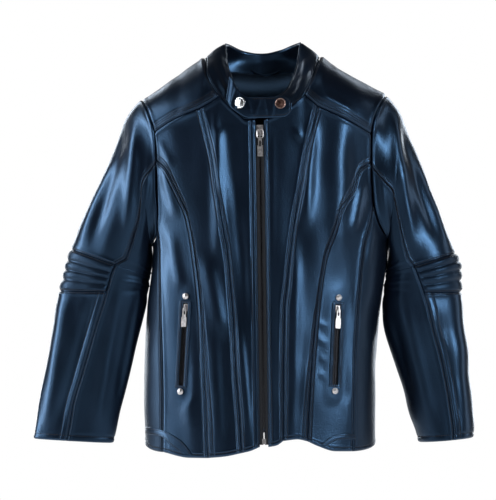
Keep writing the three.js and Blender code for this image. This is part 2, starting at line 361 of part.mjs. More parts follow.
// ---------------------------------------------------------------- sleeves
const angles = (from, to, n) => Array.from({ length: n + 1 }, (_, i) => lerp(from, to, i / n));
const PLEATS = 4;
for (const [tag, side] of [["left", L], ["right", R]]) {
  const axisOf = (p) => { const t = Math.min(1, Math.max(0, (gz(100) - p.z) / 560)); return new THREE.Vector3(lerp(side.sign * 185, side.sign * 318, t), 0, p.z - (t < 0.3 ? 25 : 0)); };
  const surface = ([k, a]) => sleeve(side, k, a);
  const grid = (ks, from, to, n, shift = 0) => inset(lift(surface, ks.map((k) => angles(from(k), to(k), n).map((a) => [k, a])), [0.02, 0.02], axisOf));
  const back = (k) => side.backSeam(k) - 2 * Math.PI, frontS = (k) => side.frontSeam(k);
  const ks = (a, b, step) => { const out = []; for (let k = a; k < b - 1e-6; k += step) out.push(k); out.push(b); return out; };
  makePanel(`sleeve_${tag}_upper`, grid([0, 1, 2, 3, 4, 5, 6, 7, ELBOW], back, frontS, 12));
  makePanel(`sleeve_${tag}_upper_under`, grid([0, 1, 2, 3, 4, 5, 6, 7, ELBOW], frontS, (k) => side.backSeam(k), 8), "leather_side");
  const pleat = grid(ks(ELBOW, ELBOW_END, 3 / (PLEATS * 2)), back, frontS, 8);
  pleat.forEach((row, i) => row.forEach((q) => { if (i % 2 && i < pleat.length - 1) q.p.addScaledVector(q.n, 2.4); }));
  makePanel(`elbow_${tag}_pleats`, pleat);
  makePanel(`forearm_${tag}_outer`, grid([ELBOW_END, 12, 13.5, 15, 16.5, CUFF], back, frontS, 8));
  makePanel(`forearm_${tag}_under`, grid([ELBOW, 9.5, 11, 12, 13.5, 15, 16.5, CUFF], frontS, (k) => side.backSeam(k), 8), "leather_side");
  const tube = (k0, k1, n) => lift(surface, angles(0, 2 * Math.PI - Math.PI / 7, 13).map((a) => angles(k0, k1, n).map((k) => [k, a])), [0.02, 0.02], axisOf);
  put(`lining_${tag}_upper`, sheet(tube(1.35, ELBOW - 0.15, 5), -6.6 - LINING_T, -6.6, true), "lining");
  put(`lining_${tag}_lower`, sheet(tube(ELBOW + 0.3, CUFF - 0.6, 5), -6 - LINING_T, -6, true), "lining");
}

// ---------------------------------------------------------------- body lining
function liningPanel(name, grid) { put(name, sheet(grid, -LINING_IN - LINING_T, -LINING_IN), "lining"); }
for (const [tag, side, seam, sgn] of [["left", L, S.sideL, -1], ["right", R, S.sideR, 1]]) {
  const armZ = gz(118), outer = front(join(trace(arc(side, angleAt(side, armZ), angleAt(side, seam[0][1]), 6), 5), seam.slice(0, -1)));
  const M = outer.length - 1, xi = (z) => zipX(z) + sgn * 16, zt = gz(128);
  const innerRun = Array.from({ length: M + 1 }, (_, j) => toAround([xi(lerp(zt, gz(425), j / M)), lerp(zt, gz(425), j / M)], false));
  const top = front(trace([[xi(zt), zt], [sgn * 75, gz(104)], [sgn * 110, gz(98)], [outer[0][0] ? side.armhole(armZ) : 0, armZ]], 6));
  top[0] = innerRun[0]; top[6] = outer[0];
  const bottom = Array.from({ length: 7 }, (_, i) => [lerp(innerRun[M][0], outer[M][0], i / 6), lerp(innerRun[M][1], outer[M][1], i / 6)]);
  liningPanel(`lining_front_${tag}`, inset(lift(around, coons(top, bottom, innerRun, outer), [0.01, 1], spine), 0.6));
}
{
  const edge = (side, seam, sgn) => { const a = rear(backArm(side, gz(124), seam[0][1], 4)); return join(a, seam.slice(0, -1)).map(([phi, z]) => [phi < 0 ? phi + 2 * Math.PI : phi, z]); };
  const left = edge(R, backSideR, 1), right = edge(L, backSideL, -1), M = left.length - 1, N = 14;
  const top = Array.from({ length: N + 1 }, (_, i) => { const x = lerp(R.armhole(gz(124)), L.armhole(gz(124)), i / N); const q = toAround([x, gz(124)], true); return [q[0] < 0 ? q[0] + 2 * Math.PI : q[0], q[1]]; });
  top[0] = left[0]; top[N] = right[0];
  const bottom = Array.from({ length: N + 1 }, (_, i) => { const x = lerp(around(left[M])[0], around([right[M][0] - 2 * Math.PI, right[M][1]])[0], i / N); const q = toAround([x, left[M][1]], true); return [q[0] < 0 ? q[0] + 2 * Math.PI : q[0], q[1]]; });
  bottom[0] = left[M]; bottom[N] = right[M];
  const wrapped = (q) => around([q[0] > Math.PI ? q[0] - 2 * Math.PI : q[0], q[1]]);
  liningPanel("lining_back", inset(lift(wrapped, coons(top, bottom, left, right), [0.004, 1], spine), 0.6));
}

// ---------------------------------------------------------------- hardware helpers
function toManifold(geometry) {
  const g = geometry.index ? geometry.clone() : geometry.clone();
  g.deleteAttribute("normal"); g.deleteAttribute("uv");
  const m = mergeVertices(g, 1e-4);
  return new wasm.Manifold(new wasm.Mesh({ numProp: 3, vertProperties: m.attributes.position.array, triVerts: new Uint32Array(m.index.array) }));
}
function fromManifold(m) {
  const mesh = m.getMesh(), g = new THREE.BufferGeometry();
  g.setAttribute("position", new THREE.BufferAttribute(new Float32Array(mesh.vertProperties), 3));
  g.setIndex(new THREE.BufferAttribute(new Uint32Array(mesh.triVerts), 1));
  const out = g.toNonIndexed(); out.computeVertexNormals();
  return out;
}
// A box in a local frame: t across, n outward, l down the line.
const box = (t0, t1, n0, n1, l0, l1) => new THREE.BoxGeometry(t1 - t0, n1 - n0, l1 - l0).translate((t0 + t1) / 2, (n0 + n1) / 2, (l0 + l1) / 2);
const union = (...list) => list.map(toManifold).reduce((a, b) => a.add(b));
// Local frame: origin, across (t), outward (n), down (l); right-handed as t x n = l.
function frameAt(o, l, out) {
  const d = l.clone().normalize(), n = out.clone().addScaledVector(d, -out.dot(d)).normalize(), t = new THREE.Vector3().crossVectors(n, d);
  return { o: o.clone(), t, n, l: d, m: new THREE.Matrix4().makeBasis(t, n, d).setPosition(o) };
}
const place = (m, f) => fromManifold(m).applyMatrix4(f.m);

// ---------------------------------------------------------------- front zip
const onFront = (x, z) => v3(flat(x, z, false));
const zipA = onFront(ZIP_TOP[0], ZIP_TOP[1]), zipB = onFront(ZIP_END[0], ZIP_END[1]);
const zipFrame = frameAt(zipA, zipB.clone().sub(zipA), new THREE.Vector3(0, -1, 0));
const ZIP_LENGTH = zipA.distanceTo(zipB), MID = -2.2;
put("teeth_left", place(union(box(-ZIP_GROOVE - ZIP_BAR, -ZIP_GROOVE, MID - 1.2, MID + 1.2, 0, ZIP_LENGTH - 12)), zipFrame), "nickel");
put("teeth_right", place(union(box(ZIP_GROOVE, ZIP_GROOVE + ZIP_BAR, MID - 1.2, MID + 1.2, 0, ZIP_LENGTH - 12)), zipFrame), "nickel");
put("zip_tape_left", place(union(box(-15, -3.45, MID - 0.45, MID + 0.45, 1, ZIP_LENGTH - 2)), zipFrame), "tape");
put("zip_tape_right", place(union(box(3.45, 15, MID - 0.45, MID + 0.45, 1, ZIP_LENGTH - 2)), zipFrame), "tape");
put("zip_box", place(union(box(-3.1, 3.1, MID - 1.5, MID + 1.5, ZIP_LENGTH - 11.5, ZIP_LENGTH - 3)), zipFrame), "nickel");
const SLIDER_L = 17, SLIDER_AT = 1;
const SLIDER = union(box(-5, 5, MID + 1.6, MID + 3, SLIDER_AT, SLIDER_AT + SLIDER_L), box(-0.25, 0.25, MID - 1.8, MID + 1.8, SLIDER_AT + 2, SLIDER_AT + 8), box(-4.4, 4.4, MID - 3, MID - 1.6, SLIDER_AT, SLIDER_AT + SLIDER_L - 2),
  box(-1.1, 1.1, MID + 2.8, MID + 7.6, SLIDER_AT + 1.5, SLIDER_AT + 11))
  .subtract(toManifold(box(-2, 2, MID + 3.2, MID + 6.4, SLIDER_AT + 3.2, SLIDER_AT + 9.3)));
put("zip_slider", place(SLIDER, zipFrame), "nickel");
// The link is a rounded ring of wire through the slider's arch; the tab hangs on its lower run.
const LINK_N = MID + 5, LINK_L = SLIDER_AT + 8.1, WIRE = 0.85;
function ring(halfT, l0, l1, r, n) {
  const path = [], q = (ct, cl, a0) => { for (let i = 0; i <= 3; i++) { const a = a0 + (Math.PI / 2) * (i / 3); path.push([ct + r * Math.cos(a), cl + r * Math.sin(a)]); } };
  q(halfT - r, l1 - r, 0); q(-halfT + r, l1 - r, Math.PI / 2); q(-halfT + r, l0 + r, Math.PI); q(halfT - r, l0 + r, 1.5 * Math.PI);
  const C = path.length, positions = [], faces = [], K = 8;
  for (let i = 0; i < C; i++) {
    const a = path[(i + C - 1) % C], b = path[(i + 1) % C], d = new THREE.Vector3(b[0] - a[0], 0, b[1] - a[1]).normalize(), s = new THREE.Vector3(d.z, 0, -d.x);
    for (let k = 0; k < K; k++) { const w = (2 * Math.PI * k) / K; positions.push(new THREE.Vector3(path[i][0], n, path[i][1]).addScaledVector(s, WIRE * Math.cos(w)).add(new THREE.Vector3(0, WIRE * Math.sin(w), 0))); }
  }
  for (let i = 0; i < C; i++) for (let k = 0; k < K; k++) { const i2 = (i + 1) % C, k2 = (k + 1) % K; faces.push([i * K + k, i2 * K + k, i2 * K + k2], [i * K + k, i2 * K + k2, i * K + k2]); }
  return geometryOf(positions, faces);
}
put("zip_link", ring(5, LINK_L - 0.85, LINK_L + 12.6, 3.4, LINK_N).applyMatrix4(zipFrame.m), "nickel");
const TAB_L = LINK_L + 12.6;
const TAB = union(box(-1.4, 1.4, LINK_N - 2.3, LINK_N + 2.3, TAB_L - 2.6, TAB_L + 2.6), box(-2.8, 2.8, LINK_N - 0.9, LINK_N + 0.9, TAB_L + 1.2, TAB_L + 12), box(-4.2, 4.2, LINK_N - 0.9, LINK_N + 0.9, TAB_L + 11.5, TAB_L + 29))
  .subtract(toManifold(box(-3, 3, LINK_N - 1.25, LINK_N + 1.25, TAB_L - 1.3, TAB_L + 1.3))).subtract(toManifold(box(-1.3, 1.3, LINK_N - 3, LINK_N + 3, TAB_L + 4, TAB_L + 13)));
put("zip_tab", place(TAB, zipFrame), "nickel");

// ---------------------------------------------------------------- pockets
const JOINTS = { zip: zipFrame, ZIP_LENGTH, LINK: [0, LINK_N, LINK_L], TAB: [0, LINK_N, TAB_L] };
for (const [tag, top, end, sgn] of [["left", [186.5, 301.6], [182, 384.5], -1], ["right", [337, 303], [333.7, 383.8], 1]]) {
  const A = onFront(gx(top[0]), gz(top[1])), B = onFront(gx(end[0]), gz(end[1])), m = A.clone().add(B).multiplyScalar(0.5);
  const e = 4, dx = onFront(m.x + e, m.z).sub(onFront(m.x - e, m.z)), dz = onFront(m.x, m.z + e).sub(onFront(m.x, m.z - e));
  let out = new THREE.Vector3().crossVectors(dx, dz).normalize(); if (out.y > 0) out.negate();
  const f = frameAt(A, B.clone().sub(A), out), len = A.distanceTo(B);
  const name = `front_side_${tag}`, old = toManifold(solids.get(name));
  const mesh = root.getObjectByName(name);
  mesh.geometry = fromManifold(old.subtract(toManifold(box(-6.2, 6.2, -14, 10, -1.5, len + 1.5).applyMatrix4(f.m))));
  put(`pocket_welt_${tag}`, place(toManifold(box(-10.4, 10.4, 1.3, 2.5, -2.5, len + 2.5)).subtract(toManifold(box(-4.6, 4.6, 0, 4, 1.5, len - 1.5))), f), "leather");
  const mid = -3.4;
  put(`pocket_zip_${tag}`, place(union(box(-9, 9, mid - 0.4, mid + 0.4, -5, len + 5), box(-2.9, 2.9, mid - 1, mid + 1, 0, len))
    .subtract(toManifold(box(-0.5, 0.5, mid - 3, mid + 3, 1, len - 1))), f), "nickel");
  put(`pocket_slider_${tag}`, place(union(box(-3.6, 3.6, mid + 1.3, mid + 2.4, 3, 14), box(-0.22, 0.22, mid - 1.5, mid + 1.5, 5, 9), box(-3.2, 3.2, mid - 2.4, mid - 1.3, 3, 12.5), box(-0.8, 0.8, mid + 2.2, mid + 8.6, 4, 12.5))
    .subtract(toManifold(box(-2, 2, mid + 5.2, mid + 7.6, 5.4, 11.2))), f), "nickel");
  const pn = mid + 6.4, pl = 10;
  put(`pocket_tab_${tag}`, place(union(box(-2.9, 2.9, pn - 0.8, pn + 0.8, pl - 0.8, pl + 14), box(-4.2, 4.2, pn - 0.8, pn + 0.8, pl + 13.5, pl + 29))
    .subtract(toManifold(box(-1.5, 1.5, pn - 2, pn + 2, pl + 0.6, pl + 9.5))), f), "nickel");
  JOINTS[tag] = { f, len, pn, pl, mid };
  put(`pocket_bag_${tag}`, place(union(box(-14, 14, -7.4, -6.4, -6, len + 8), box(sgn < 0 ? 10 : -27, sgn < 0 ? 27 : -10, -7.4, -6.4, 20, len + 26)), f), "lining");
  [-9.6, len + 8.4].forEach((l, i) => {
    const g = new THREE.LatheGeometry([[0, 0], [5, 0], [5, 0.8], [2.4, 2.4], [0, 3]].map(([r, h]) => new THREE.Vector2(r, h)), 8);
    put(`pocket_stud_${tag}_${i ? "bottom" : "top"}`, place(toManifold(g).translate([0, 2.9, 0]), { m: new THREE.Matrix4().makeBasis(f.t, f.n, f.l).setPosition(f.o.clone().addScaledVector(f.l, l)) }), "nickel");
  });
}

// ---------------------------------------------------------------- collar tab and snaps
const strap = ([x, z]) => [x, -98.4 + 0.2 * Math.max(0, z + 70) + (x * x) / 2000 + (x < -40 ? ((x + 40) * (x + 40)) / 150 : 0), z];
function strapPiece(xs, half) {
  return sheet(xs.map((x) => Array.from({ length: 4 }, (_, j) => [x, lerp(-1, 1, j / 3)]).map(([a, s]) => { const zc = gz(109.5) + (a > 0 ? 2.2 * a / 48 : 0); const q = strap([a, zc + s * half(a)]); return { p: v3(q), n: new THREE.Vector3(0, -1, 0.26).normalize().negate().negate() }; })), -0.8, 0.8);
}
put("collar_tab", strapPiece([gx(246.4), -16, -6, 4, 14, 24, 32, 38, 43, 47], (x) => x < 32 ? 16.4 : 16.4 * Math.sqrt(Math.max(0.02, 1 - ((x - 32) / 15.4) ** 2))), "leather");
put("collar_tab_base", strapPiece([gx(226), -50, -42, -33, gx(245.8)], () => 16.4), "leather");
const disc = (x, z, profile, offset) => { const p = v3(strap([x, z])), n = new THREE.Vector3(0, -1, 0.26).normalize(); const g = new THREE.LatheGeometry(profile.map(([r, h]) => new THREE.Vector2(r, h)), 16); return place(toManifold(g).translate([0, offset, 0]), { m: frameAt(p, new THREE.Vector3(0, -0.25, -1), n).m }); };
put("snap_cap_left", disc(gx(240), gz(104.8), [[0, 0], [7.4, 0], [7.6, 1.2], [5.5, 2.6], [0, 3.2]], 1.2), "silver");
put("snap_cap_right", disc(gx(280), gz(105.6), [[0, 0], [9, 0], [9.2, 1.4], [7.6, 2.2], [5, 1.4], [0, 1.2]], 1.5), "bronze");
put("snap_stud_right", disc(gx(280), gz(105.6), [[0, 0], [4, 0], [4, 1.2], [0, 1.2]], -2.6), "nickel");

// ---------------------------------------------------------------- hang loop
{
  const pts = trace([[gx(251), 43.5, gz(69.5)], [gx(258), 40, gz(73)], [gx(266), 39, gz(74.5)], [gx(274), 40, gz(73)], [gx(281), 43.5, gz(69.5)]], 8).map(v3);
  const positions = [], faces = [], K = 6;
  pts.forEach((p, i) => { const d = pts[Math.min(8, i + 1)].clone().sub(pts[Math.max(0, i - 1)]).normalize(), a = new THREE.Vector3(0, 0, 1).addScaledVector(d, -d.z).normalize(), b = new THREE.Vector3().crossVectors(d, a);
    for (let k = 0; k < K; k++) { const w = (2 * Math.PI * k) / K; positions.push(p.clone().addScaledVector(a, 1.7 * Math.cos(w)).addScaledVector(b, 1.7 * Math.sin(w))); } });
  for (let i = 0; i < 8; i++) for (let k = 0; k < K; k++) { const k2 = (k + 1) % K; faces.push([i * K + k, (i + 1) * K + k, (i + 1) * K + k2], [i * K + k, (i + 1) * K + k2, i * K + k2]); }
  for (let k = 1; k < K - 1; k++) faces.push([0, k, k + 1], [8 * K, 8 * K + k + 1, 8 * K + k]);
  put("hang_loop", geometryOf(positions, faces), "lining");
}

export { L, R, S, HEM, flat, around, toAround, over, toOver, loop, sleeve, trace, fn, gx, gz, zipX, panels, JOINTS, strap, collarAt };
export default root;
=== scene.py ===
import json
import math
import bpy
import bmesh
import numpy as np
from mathutils import Matrix, Vector

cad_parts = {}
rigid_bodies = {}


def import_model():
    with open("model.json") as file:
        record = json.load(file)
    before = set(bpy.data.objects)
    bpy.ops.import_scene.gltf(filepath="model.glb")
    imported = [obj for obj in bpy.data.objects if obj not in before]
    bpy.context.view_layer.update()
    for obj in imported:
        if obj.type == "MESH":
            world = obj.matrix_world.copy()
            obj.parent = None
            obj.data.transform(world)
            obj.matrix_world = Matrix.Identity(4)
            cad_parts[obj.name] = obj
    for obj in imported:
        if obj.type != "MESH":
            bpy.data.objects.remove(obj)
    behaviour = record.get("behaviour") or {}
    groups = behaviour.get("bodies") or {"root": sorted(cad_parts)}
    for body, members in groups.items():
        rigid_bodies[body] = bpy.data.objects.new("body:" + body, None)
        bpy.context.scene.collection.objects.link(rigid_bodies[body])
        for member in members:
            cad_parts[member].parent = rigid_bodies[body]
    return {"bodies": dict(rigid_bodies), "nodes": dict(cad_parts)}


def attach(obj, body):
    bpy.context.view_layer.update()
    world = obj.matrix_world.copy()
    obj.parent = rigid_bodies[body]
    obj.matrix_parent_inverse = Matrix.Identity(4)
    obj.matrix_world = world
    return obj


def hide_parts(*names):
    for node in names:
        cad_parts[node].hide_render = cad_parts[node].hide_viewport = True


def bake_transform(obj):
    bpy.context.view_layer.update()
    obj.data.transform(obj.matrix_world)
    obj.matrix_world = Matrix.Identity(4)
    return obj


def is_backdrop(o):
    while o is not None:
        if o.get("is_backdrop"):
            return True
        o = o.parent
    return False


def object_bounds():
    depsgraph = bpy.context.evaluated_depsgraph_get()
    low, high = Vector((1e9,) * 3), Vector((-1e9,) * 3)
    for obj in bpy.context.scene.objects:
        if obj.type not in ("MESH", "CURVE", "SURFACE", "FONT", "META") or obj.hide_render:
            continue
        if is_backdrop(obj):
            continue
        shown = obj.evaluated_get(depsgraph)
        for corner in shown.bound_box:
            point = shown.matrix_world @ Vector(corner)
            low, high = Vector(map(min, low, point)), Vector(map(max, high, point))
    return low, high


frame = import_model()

NODES, BODIES = frame["nodes"], frame["bodies"]
CAD_BOX = [list(map(float, c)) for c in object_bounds()]
MM = 0.001
GRID, OU, OV = 1.6, 262.0, 68.0
gx = lambda u: (np.asarray(u, float) - OU) * GRID
gz = lambda v: (OV - np.asarray(v, float)) * GRID
rng = np.random.default_rng(7)

# ------------------------------------------------------------------ curves
def fn(knots):
    k = np.array(knots, float)
    t, v = k[:, 0], k[:, 1]
    h, d = np.diff(t), np.diff(v) / np.diff(t)
    m = np.zeros(len(t))
    m[0], m[-1] = d[0], d[-1]
    for i in range(1, len(t) - 1):
        if d[i - 1] * d[i] > 0:
            w1, w2 = 2 * h[i] + h[i - 1], h[i] + 2 * h[i - 1]
            m[i] = (w1 + w2) / (w1 / d[i - 1] + w2 / d[i])

    def f(s):
        s = np.clip(np.asarray(s, float), t[0], t[-1])
        i = np.clip(np.searchsorted(t, s, side="right") - 1, 0, len(t) - 2)
        q = (s - t[i]) / h[i]
        return (2 * q**3 - 3 * q**2 + 1) * v[i] + (q**3 - 2 * q**2 + q) * h[i] * m[i] + (3 * q**2 - 2 * q**3) * v[i + 1] + (q**3 - q**2) * h[i] * m[i + 1]

    return f


def trace(points):
    """A smooth run through the points, by share of its length from 0 to 1."""
    p = np.array(points, float)
    s = np.concatenate([[0], np.cumsum(np.linalg.norm(np.diff(p, axis=0), axis=1))])
    fs = [fn(np.stack([s, p[:, c]], 1)) for c in range(p.shape[1])]
    run = lambda t: np.stack([f(np.asarray(t, float) * s[-1]) for f in fs], -1)
    run.length = s[-1]
    return run


def join(a, b, share=None):
    share = a.length / (a.length + b.length) if share is None else share
    run = lambda t: np.where((np.asarray(t) <= share)[..., None], a(np.clip(np.asarray(t) / share, 0, 1)), b(np.clip((np.asarray(t) - share) / (1 - share), 0, 1)))
    run.length = a.length + b.length
    return run


on_grid = lambda pts: [(float(gx(u)), float(gz(v))) for u, v in pts]
lerp = lambda a, b, t: a + (b - a) * t
smooth = lambda a, b, x: (lambda q: q * q * (3 - 2 * q))(np.clip((np.asarray(x, float) - a) / (b - a), 0, 1))

# ------------------------------------------------------------------ body surface, as in the CAD model
ROUND, ROLL = 2.5, 75.0
FRONT_TOP, FRONT_HEM, NECK_Z, HEM_Z = 92.0, 112.0, -93.0, -600.0
half_left = fn([(z, w * GRID) for z, w in [(-640, 116), (-598, 116), (-531, 117), (-492, 117), (-474, 116.8), (-451, 116.3), (-425, 115.6), (-406, 115), (-397, 114.6), (-371, 113.2), (-358, 112.4), (-339, 111), (-307, 109.3), (-280, 109.6), (-256, 112), (-195, 117.5), (-147, 122), (-99, 131), (-51, 146), (20, 152)]])
half_right = fn([(z, w * GRID) for z, w in [(-640, 113), (-598, 113), (-474, 113.5), (-454, 114.2), (-426, 114.9), (-397, 116), (-371, 118), (-339, 120.5), (-307, 123), (-281.6, 124.6), (-269, 126), (-253, 126), (-214, 123.5), (-157, 123.5), (-128, 126), (-85, 136), (-56, 147), (-43, 150), (20, 155)]])
front_depth = lambda z: FRONT_TOP + (FRONT_HEM - FRONT_TOP) * (NECK_Z - np.minimum(z, NECK_Z)) / (NECK_Z - HEM_Z)
back_depth = fn([(-640, 98), (-600, 98), (-350, 92), (-150, 100), (20, 92)])
ridge = fn([(-216, -78), (-208, -70.4), (-200, -60.8), (-190.4, -51.2), (-177.6, -41.6), (-163.2, -32), (-148.8, -22.4), (-132.8, -12.8), (-120, -3.2), (-105.6, 6.4), (-91.2, 14.4), (-60, 13.2), (0, 12), (60, 13.6), (92.8, 16), (110.4, 6.4), (126.4, -3.2), (144, -12.8), (161.6, -22.4), (177.6, -32), (193.6, -41.6), (201.6, -51.2), (209.6, -60.8), (216, -70.4)])
half = lambda x, z: np.where(x < 0, half_left(z), half_right(z))
plan = lambda u: np.maximum(0, 1 - np.minimum(1, np.abs(u)) ** ROUND) ** (1 / ROUND)


def roll(x, z):
    t = np.clip((ridge(x) - z) / ROLL, 0, 1)
    return np.sqrt(np.maximum(0, 1 - (1 - t) ** 2))


def flat(x, z, back=False):
    x, z = np.asarray(x, float), np.asarray(z, float)
    r = plan(x / half(x, z)) * roll(x, z)
    return np.stack([x, np.where(back, back_depth(z) * r, -front_depth(z) * r), z], -1)


def around(q):
    phi, z = q[..., 0], q[..., 1]
    phi = np.where(phi > math.pi, phi - 2 * math.pi, phi)
    u = np.abs(np.sin(phi)) ** (2 / ROUND)
    x = np.where(phi > 0, half_right(z), -half_left(z)) * u
    c = np.cos(phi)
    r = np.abs(c) ** (2 / ROUND) * roll(x, z)
    return np.stack([x, np.where(c > 0, -front_depth(z), back_depth(z)) * r, z], -1)


def to_around(q, back=False, turn=False):
    x, z = q[..., 0], q[..., 1]
    p = np.arcsin(np.minimum(1, np.abs(x) / half(x, z)) ** (ROUND / 2))
    p = math.pi - p if back else p
    p = np.where(x < 0, -p, p)
    return np.stack([np.where(p < 0, p + 2 * math.pi, p) if turn else p, z], -1)


def over(q):
    x, s = q[..., 0], q[..., 1]
    a = np.abs(s)
    near = a < math.pi / 2
    z = np.where(near, ridge(x) - ROLL * (1 - np.cos(a)), ridge(x) - ROLL * (1 + a - math.pi / 2))
    r = plan(x / half(x, z)) * np.where(near, np.sin(a), 1)
    return np.stack([x, np.where(s > 0, -front_depth(z), back_depth(z)) * r, z], -1)


def to_over(q, back=False):
    x, z = q[..., 0], q[..., 1]
    t = np.maximum(0, (ridge(x) - z) / ROLL)
    s = np.where(t < 1, np.arccos(1 - np.minimum(1, t)), math.pi / 2 + t - 1)
    return np.stack([x, -s if back else s], -1)


mapped = lambda run, f: (lambda t: f(run(t)))

# ------------------------------------------------------------------ armholes and sleeves
def arm_side(sign, top, bottom, armhole, outer, inner, depth, front, edge):
    return dict(sign=sign, top=float(gz(top)), bottom=float(gz(bottom)), armhole=fn([(float(gz(v)), float(gx(u)) if u is not None else edge) for v, u in armhole]),
                outer=np.array(on_grid(outer)), inner=np.array(on_grid(inner)), depth=np.array(depth, float), front=fn([(k, math.radians(a)) for k, a in front]),
                back=lambda k: 2 * math.pi - fn([(t, math.radians(a)) for t, a in [(0, 84), (2, 98), (7, 104), (8, 98), (11, 94), (18, 86)]])(k))


L = arm_side(-1, 100.5, 243, [(243, None), (240.5, 154.6), (235, 157.2), (228, 158), (212, 158.5), (188, 157), (160, 157), (148, 156.8), (128, 154), (116, 150), (100.5, 143)],
             [(143, 100.5), (136, 107), (126.5, 119.5), (119.5, 137), (110.5, 160), (101, 181.5), (90.5, 205), (80.7, 227), (72, 249.5), (67, 264), (64, 276), (60, 291), (56, 308), (54, 325), (50, 349), (44, 376), (39, 402), (36.3, 424), (34, 438.5)],
             [(151.2, 243.6), (151, 247.5), (151.2, 251), (151.3, 255), (151.3, 259), (150.9, 263), (150.2, 267.5), (149.3, 271.5), (148.7, 276), (148.2, 281.5), (147.7, 286.5), (147.2, 292), (145.7, 309), (141.5, 327), (134.5, 352), (128, 379), (121.2, 406), (117, 428), (113, 443)],
             [57, 56.5, 55, 53, 51, 48.5, 46, 43, 40, 38, 36.5, 35, 33, 31, 29, 26.5, 24, 22.5, 22],
             [(0, 83), (1, 93), (2, 103.5), (4, 109), (7, 110.6), (8, 98.5), (11, 94.6), (13, 88.4), (15, 83.8), (16, 81), (18, 80.5)], -float(half_left(gz(243))))
R = arm_side(1, 96.5, 244, [(244, None), (240, 387), (236, 385), (226, 379), (205, 372.4), (188, 371), (166, 370), (148, 369.6), (134.6, 370.2), (121, 372.7), (103, 380.7), (96.5, 385)],
             [(385, 96.5), (391.5, 104), (400.5, 118), (409.5, 139), (418.5, 161.5), (428, 185), (437.5, 209), (448, 233), (455.5, 253), (460.5, 264), (460.3, 277), (459.8, 292), (462, 306), (463.5, 324), (466, 348), (468.8, 374), (472, 398), (473.8, 424), (472.5, 437.5)],
             [(388.6, 244.4), (388.9, 247.6), (388.7, 250.8), (387.9, 254.3), (387.5, 258.5), (387, 262.5), (386.6, 266.5), (386.2, 270.5), (385.8, 274), (385.2, 280), (384.6, 286), (383.8, 292.5), (382.6, 307), (383.8, 325), (390.8, 349), (399.4, 375), (406.6, 399), (415, 427), (419, 442)],
             [57, 56.5, 55.5, 54, 52, 50, 48, 46.5, 45, 44, 43, 42.5, 42, 42, 42, 42, 42, 42, 42],
             [(0, 86.7), (1, 100), (2.5, 103.9), (6, 109.4), (7, 109.4), (8, 103), (9, 100.4), (11.3, 86.7), (13.4, 77.3), (15, 73.4), (18, 75.4)], float(half_right(gz(244))))
ELBOW, ELBOW_END, CUFF = 8.0, 11.0, 18.0


def loop(side, angle):
    angle = np.asarray(angle, float)
    z = lerp(side["top"], side["bottom"], (1 - np.cos(angle)) / 2)
    return flat(side["armhole"](z), z, np.sin(angle) < 0)


loop_xz = lambda side, angle: loop(side, angle)[..., [0, 2]]
angle_at = lambda side, z: math.acos(max(-1, min(1, 1 - 2 * (float(z) - side["top"]) / (side["bottom"] - side["top"]))))


def arc(side, a, b):
    run = lambda t: loop_xz(side, lerp(a, b, np.asarray(t, float)))
    q = run(np.linspace(0, 1, 30))
    run.length = float(np.linalg.norm(np.diff(q, axis=0), axis=1).sum())
    return run


def section(side, k, angle):
    o, i, b = side["outer"][k], side["inner"][k], side["depth"][k]
    c = np.cos(angle)
    p = np.stack([(o[..., 0] + i[..., 0]) / 2 + (o[..., 0] - i[..., 0]) / 2 * c, -b * np.sin(angle), (o[..., 1] + i[..., 1]) / 2 + (o[..., 1] - i[..., 1]) / 2 * c], -1)
    first = loop(side, angle) + np.array([side["sign"] * 1.0, 0, 0])
    return np.where((k == 0)[..., None], first, p)


def sleeve(side, q):
    k, angle = np.clip(q[..., 0], 0, CUFF), q[..., 1]
    k0 = np.minimum(np.floor(k).astype(int), 17)
    f = (k - k0)[..., None]
    p = [section(side, np.clip(k0 + d, 0, 18), angle) for d in (-1, 0, 1, 2)]
    m1, m2 = (p[2] - p[0]) / 2, (p[3] - p[1]) / 2
    return (2 * f**3 - 3 * f**2 + 1) * p[1] + (f**3 - 2 * f**2 + f) * m1 + (3 * f**2 - 2 * f**3) * p[2] + (f**3 - f**2) * m2


# ------------------------------------------------------------------ folds and grain of the shape, in millimetres along the normal
FOLDS = []  # (u1, v1, u2, v2, half width, height) on the pattern grid, front
BACK_FOLDS = []


def ridges(P, folds):
    x, z = P[..., 0], P[..., 2]
    out = np.zeros(x.shape)
    for u1, v1, u2, v2, w, h in folds:
        a = np.array([float(gx(u1)), float(gz(v1))])
        b = np.array([float(gx(u2)), float(gz(v2))])
        d = b - a
        n = np.hypot(*d)
        t = ((x - a[0]) * d[0] + (z - a[1]) * d[1]) / (n * n)
        off = ((x - a[0]) * d[1] - (z - a[1]) * d[0]) / n
        out += 1.55 * h * np.exp(-((off / (w * GRID)) ** 2)) * smooth(-0.22, 0.22, t) * (1 - smooth(0.78, 1.22, t))
    return out


def waves(P, seed, lengths, height, n, stretch=(1, 1, 0.35)):
    r = np.random.default_rng(seed)
    out = np.zeros(P.shape[:-1])
    for _ in range(n):
        lam = math.exp(r.uniform(math.log(lengths[0]), math.log(lengths[1])))
        d = r.normal(size=3) * np.array(stretch)
        d = d / np.linalg.norm(d) * 2 * math.pi / lam
        out += height * (lam / lengths[1]) / math.sqrt(n) * 1.6 * np.sin(P @ d + r.uniform(0, 6.28))
    return out


# ------------------------------------------------------------------ meshes
def new_mesh(name, verts, faces, mat, weights=None, shade=True):
    me = bpy.data.meshes.new(name)
    verts = np.asarray(verts, float) * MM
    me.from_pydata(verts.tolist(), [], faces if isinstance(faces, list) else faces.tolist())
    me.validate()
    me.update()
    if shade:
        me.polygons.foreach_set("use_smooth", [True] * len(me.polygons))
    if mat:
        me.materials.append(mat)
    ob = bpy.data.objects.new(name, me)
    bpy.context.scene.collection.objects.link(ob)
    ob["w"] = 0
    if weights is not None:
        ob["w"] = 1
    return ob


PANELS = {}


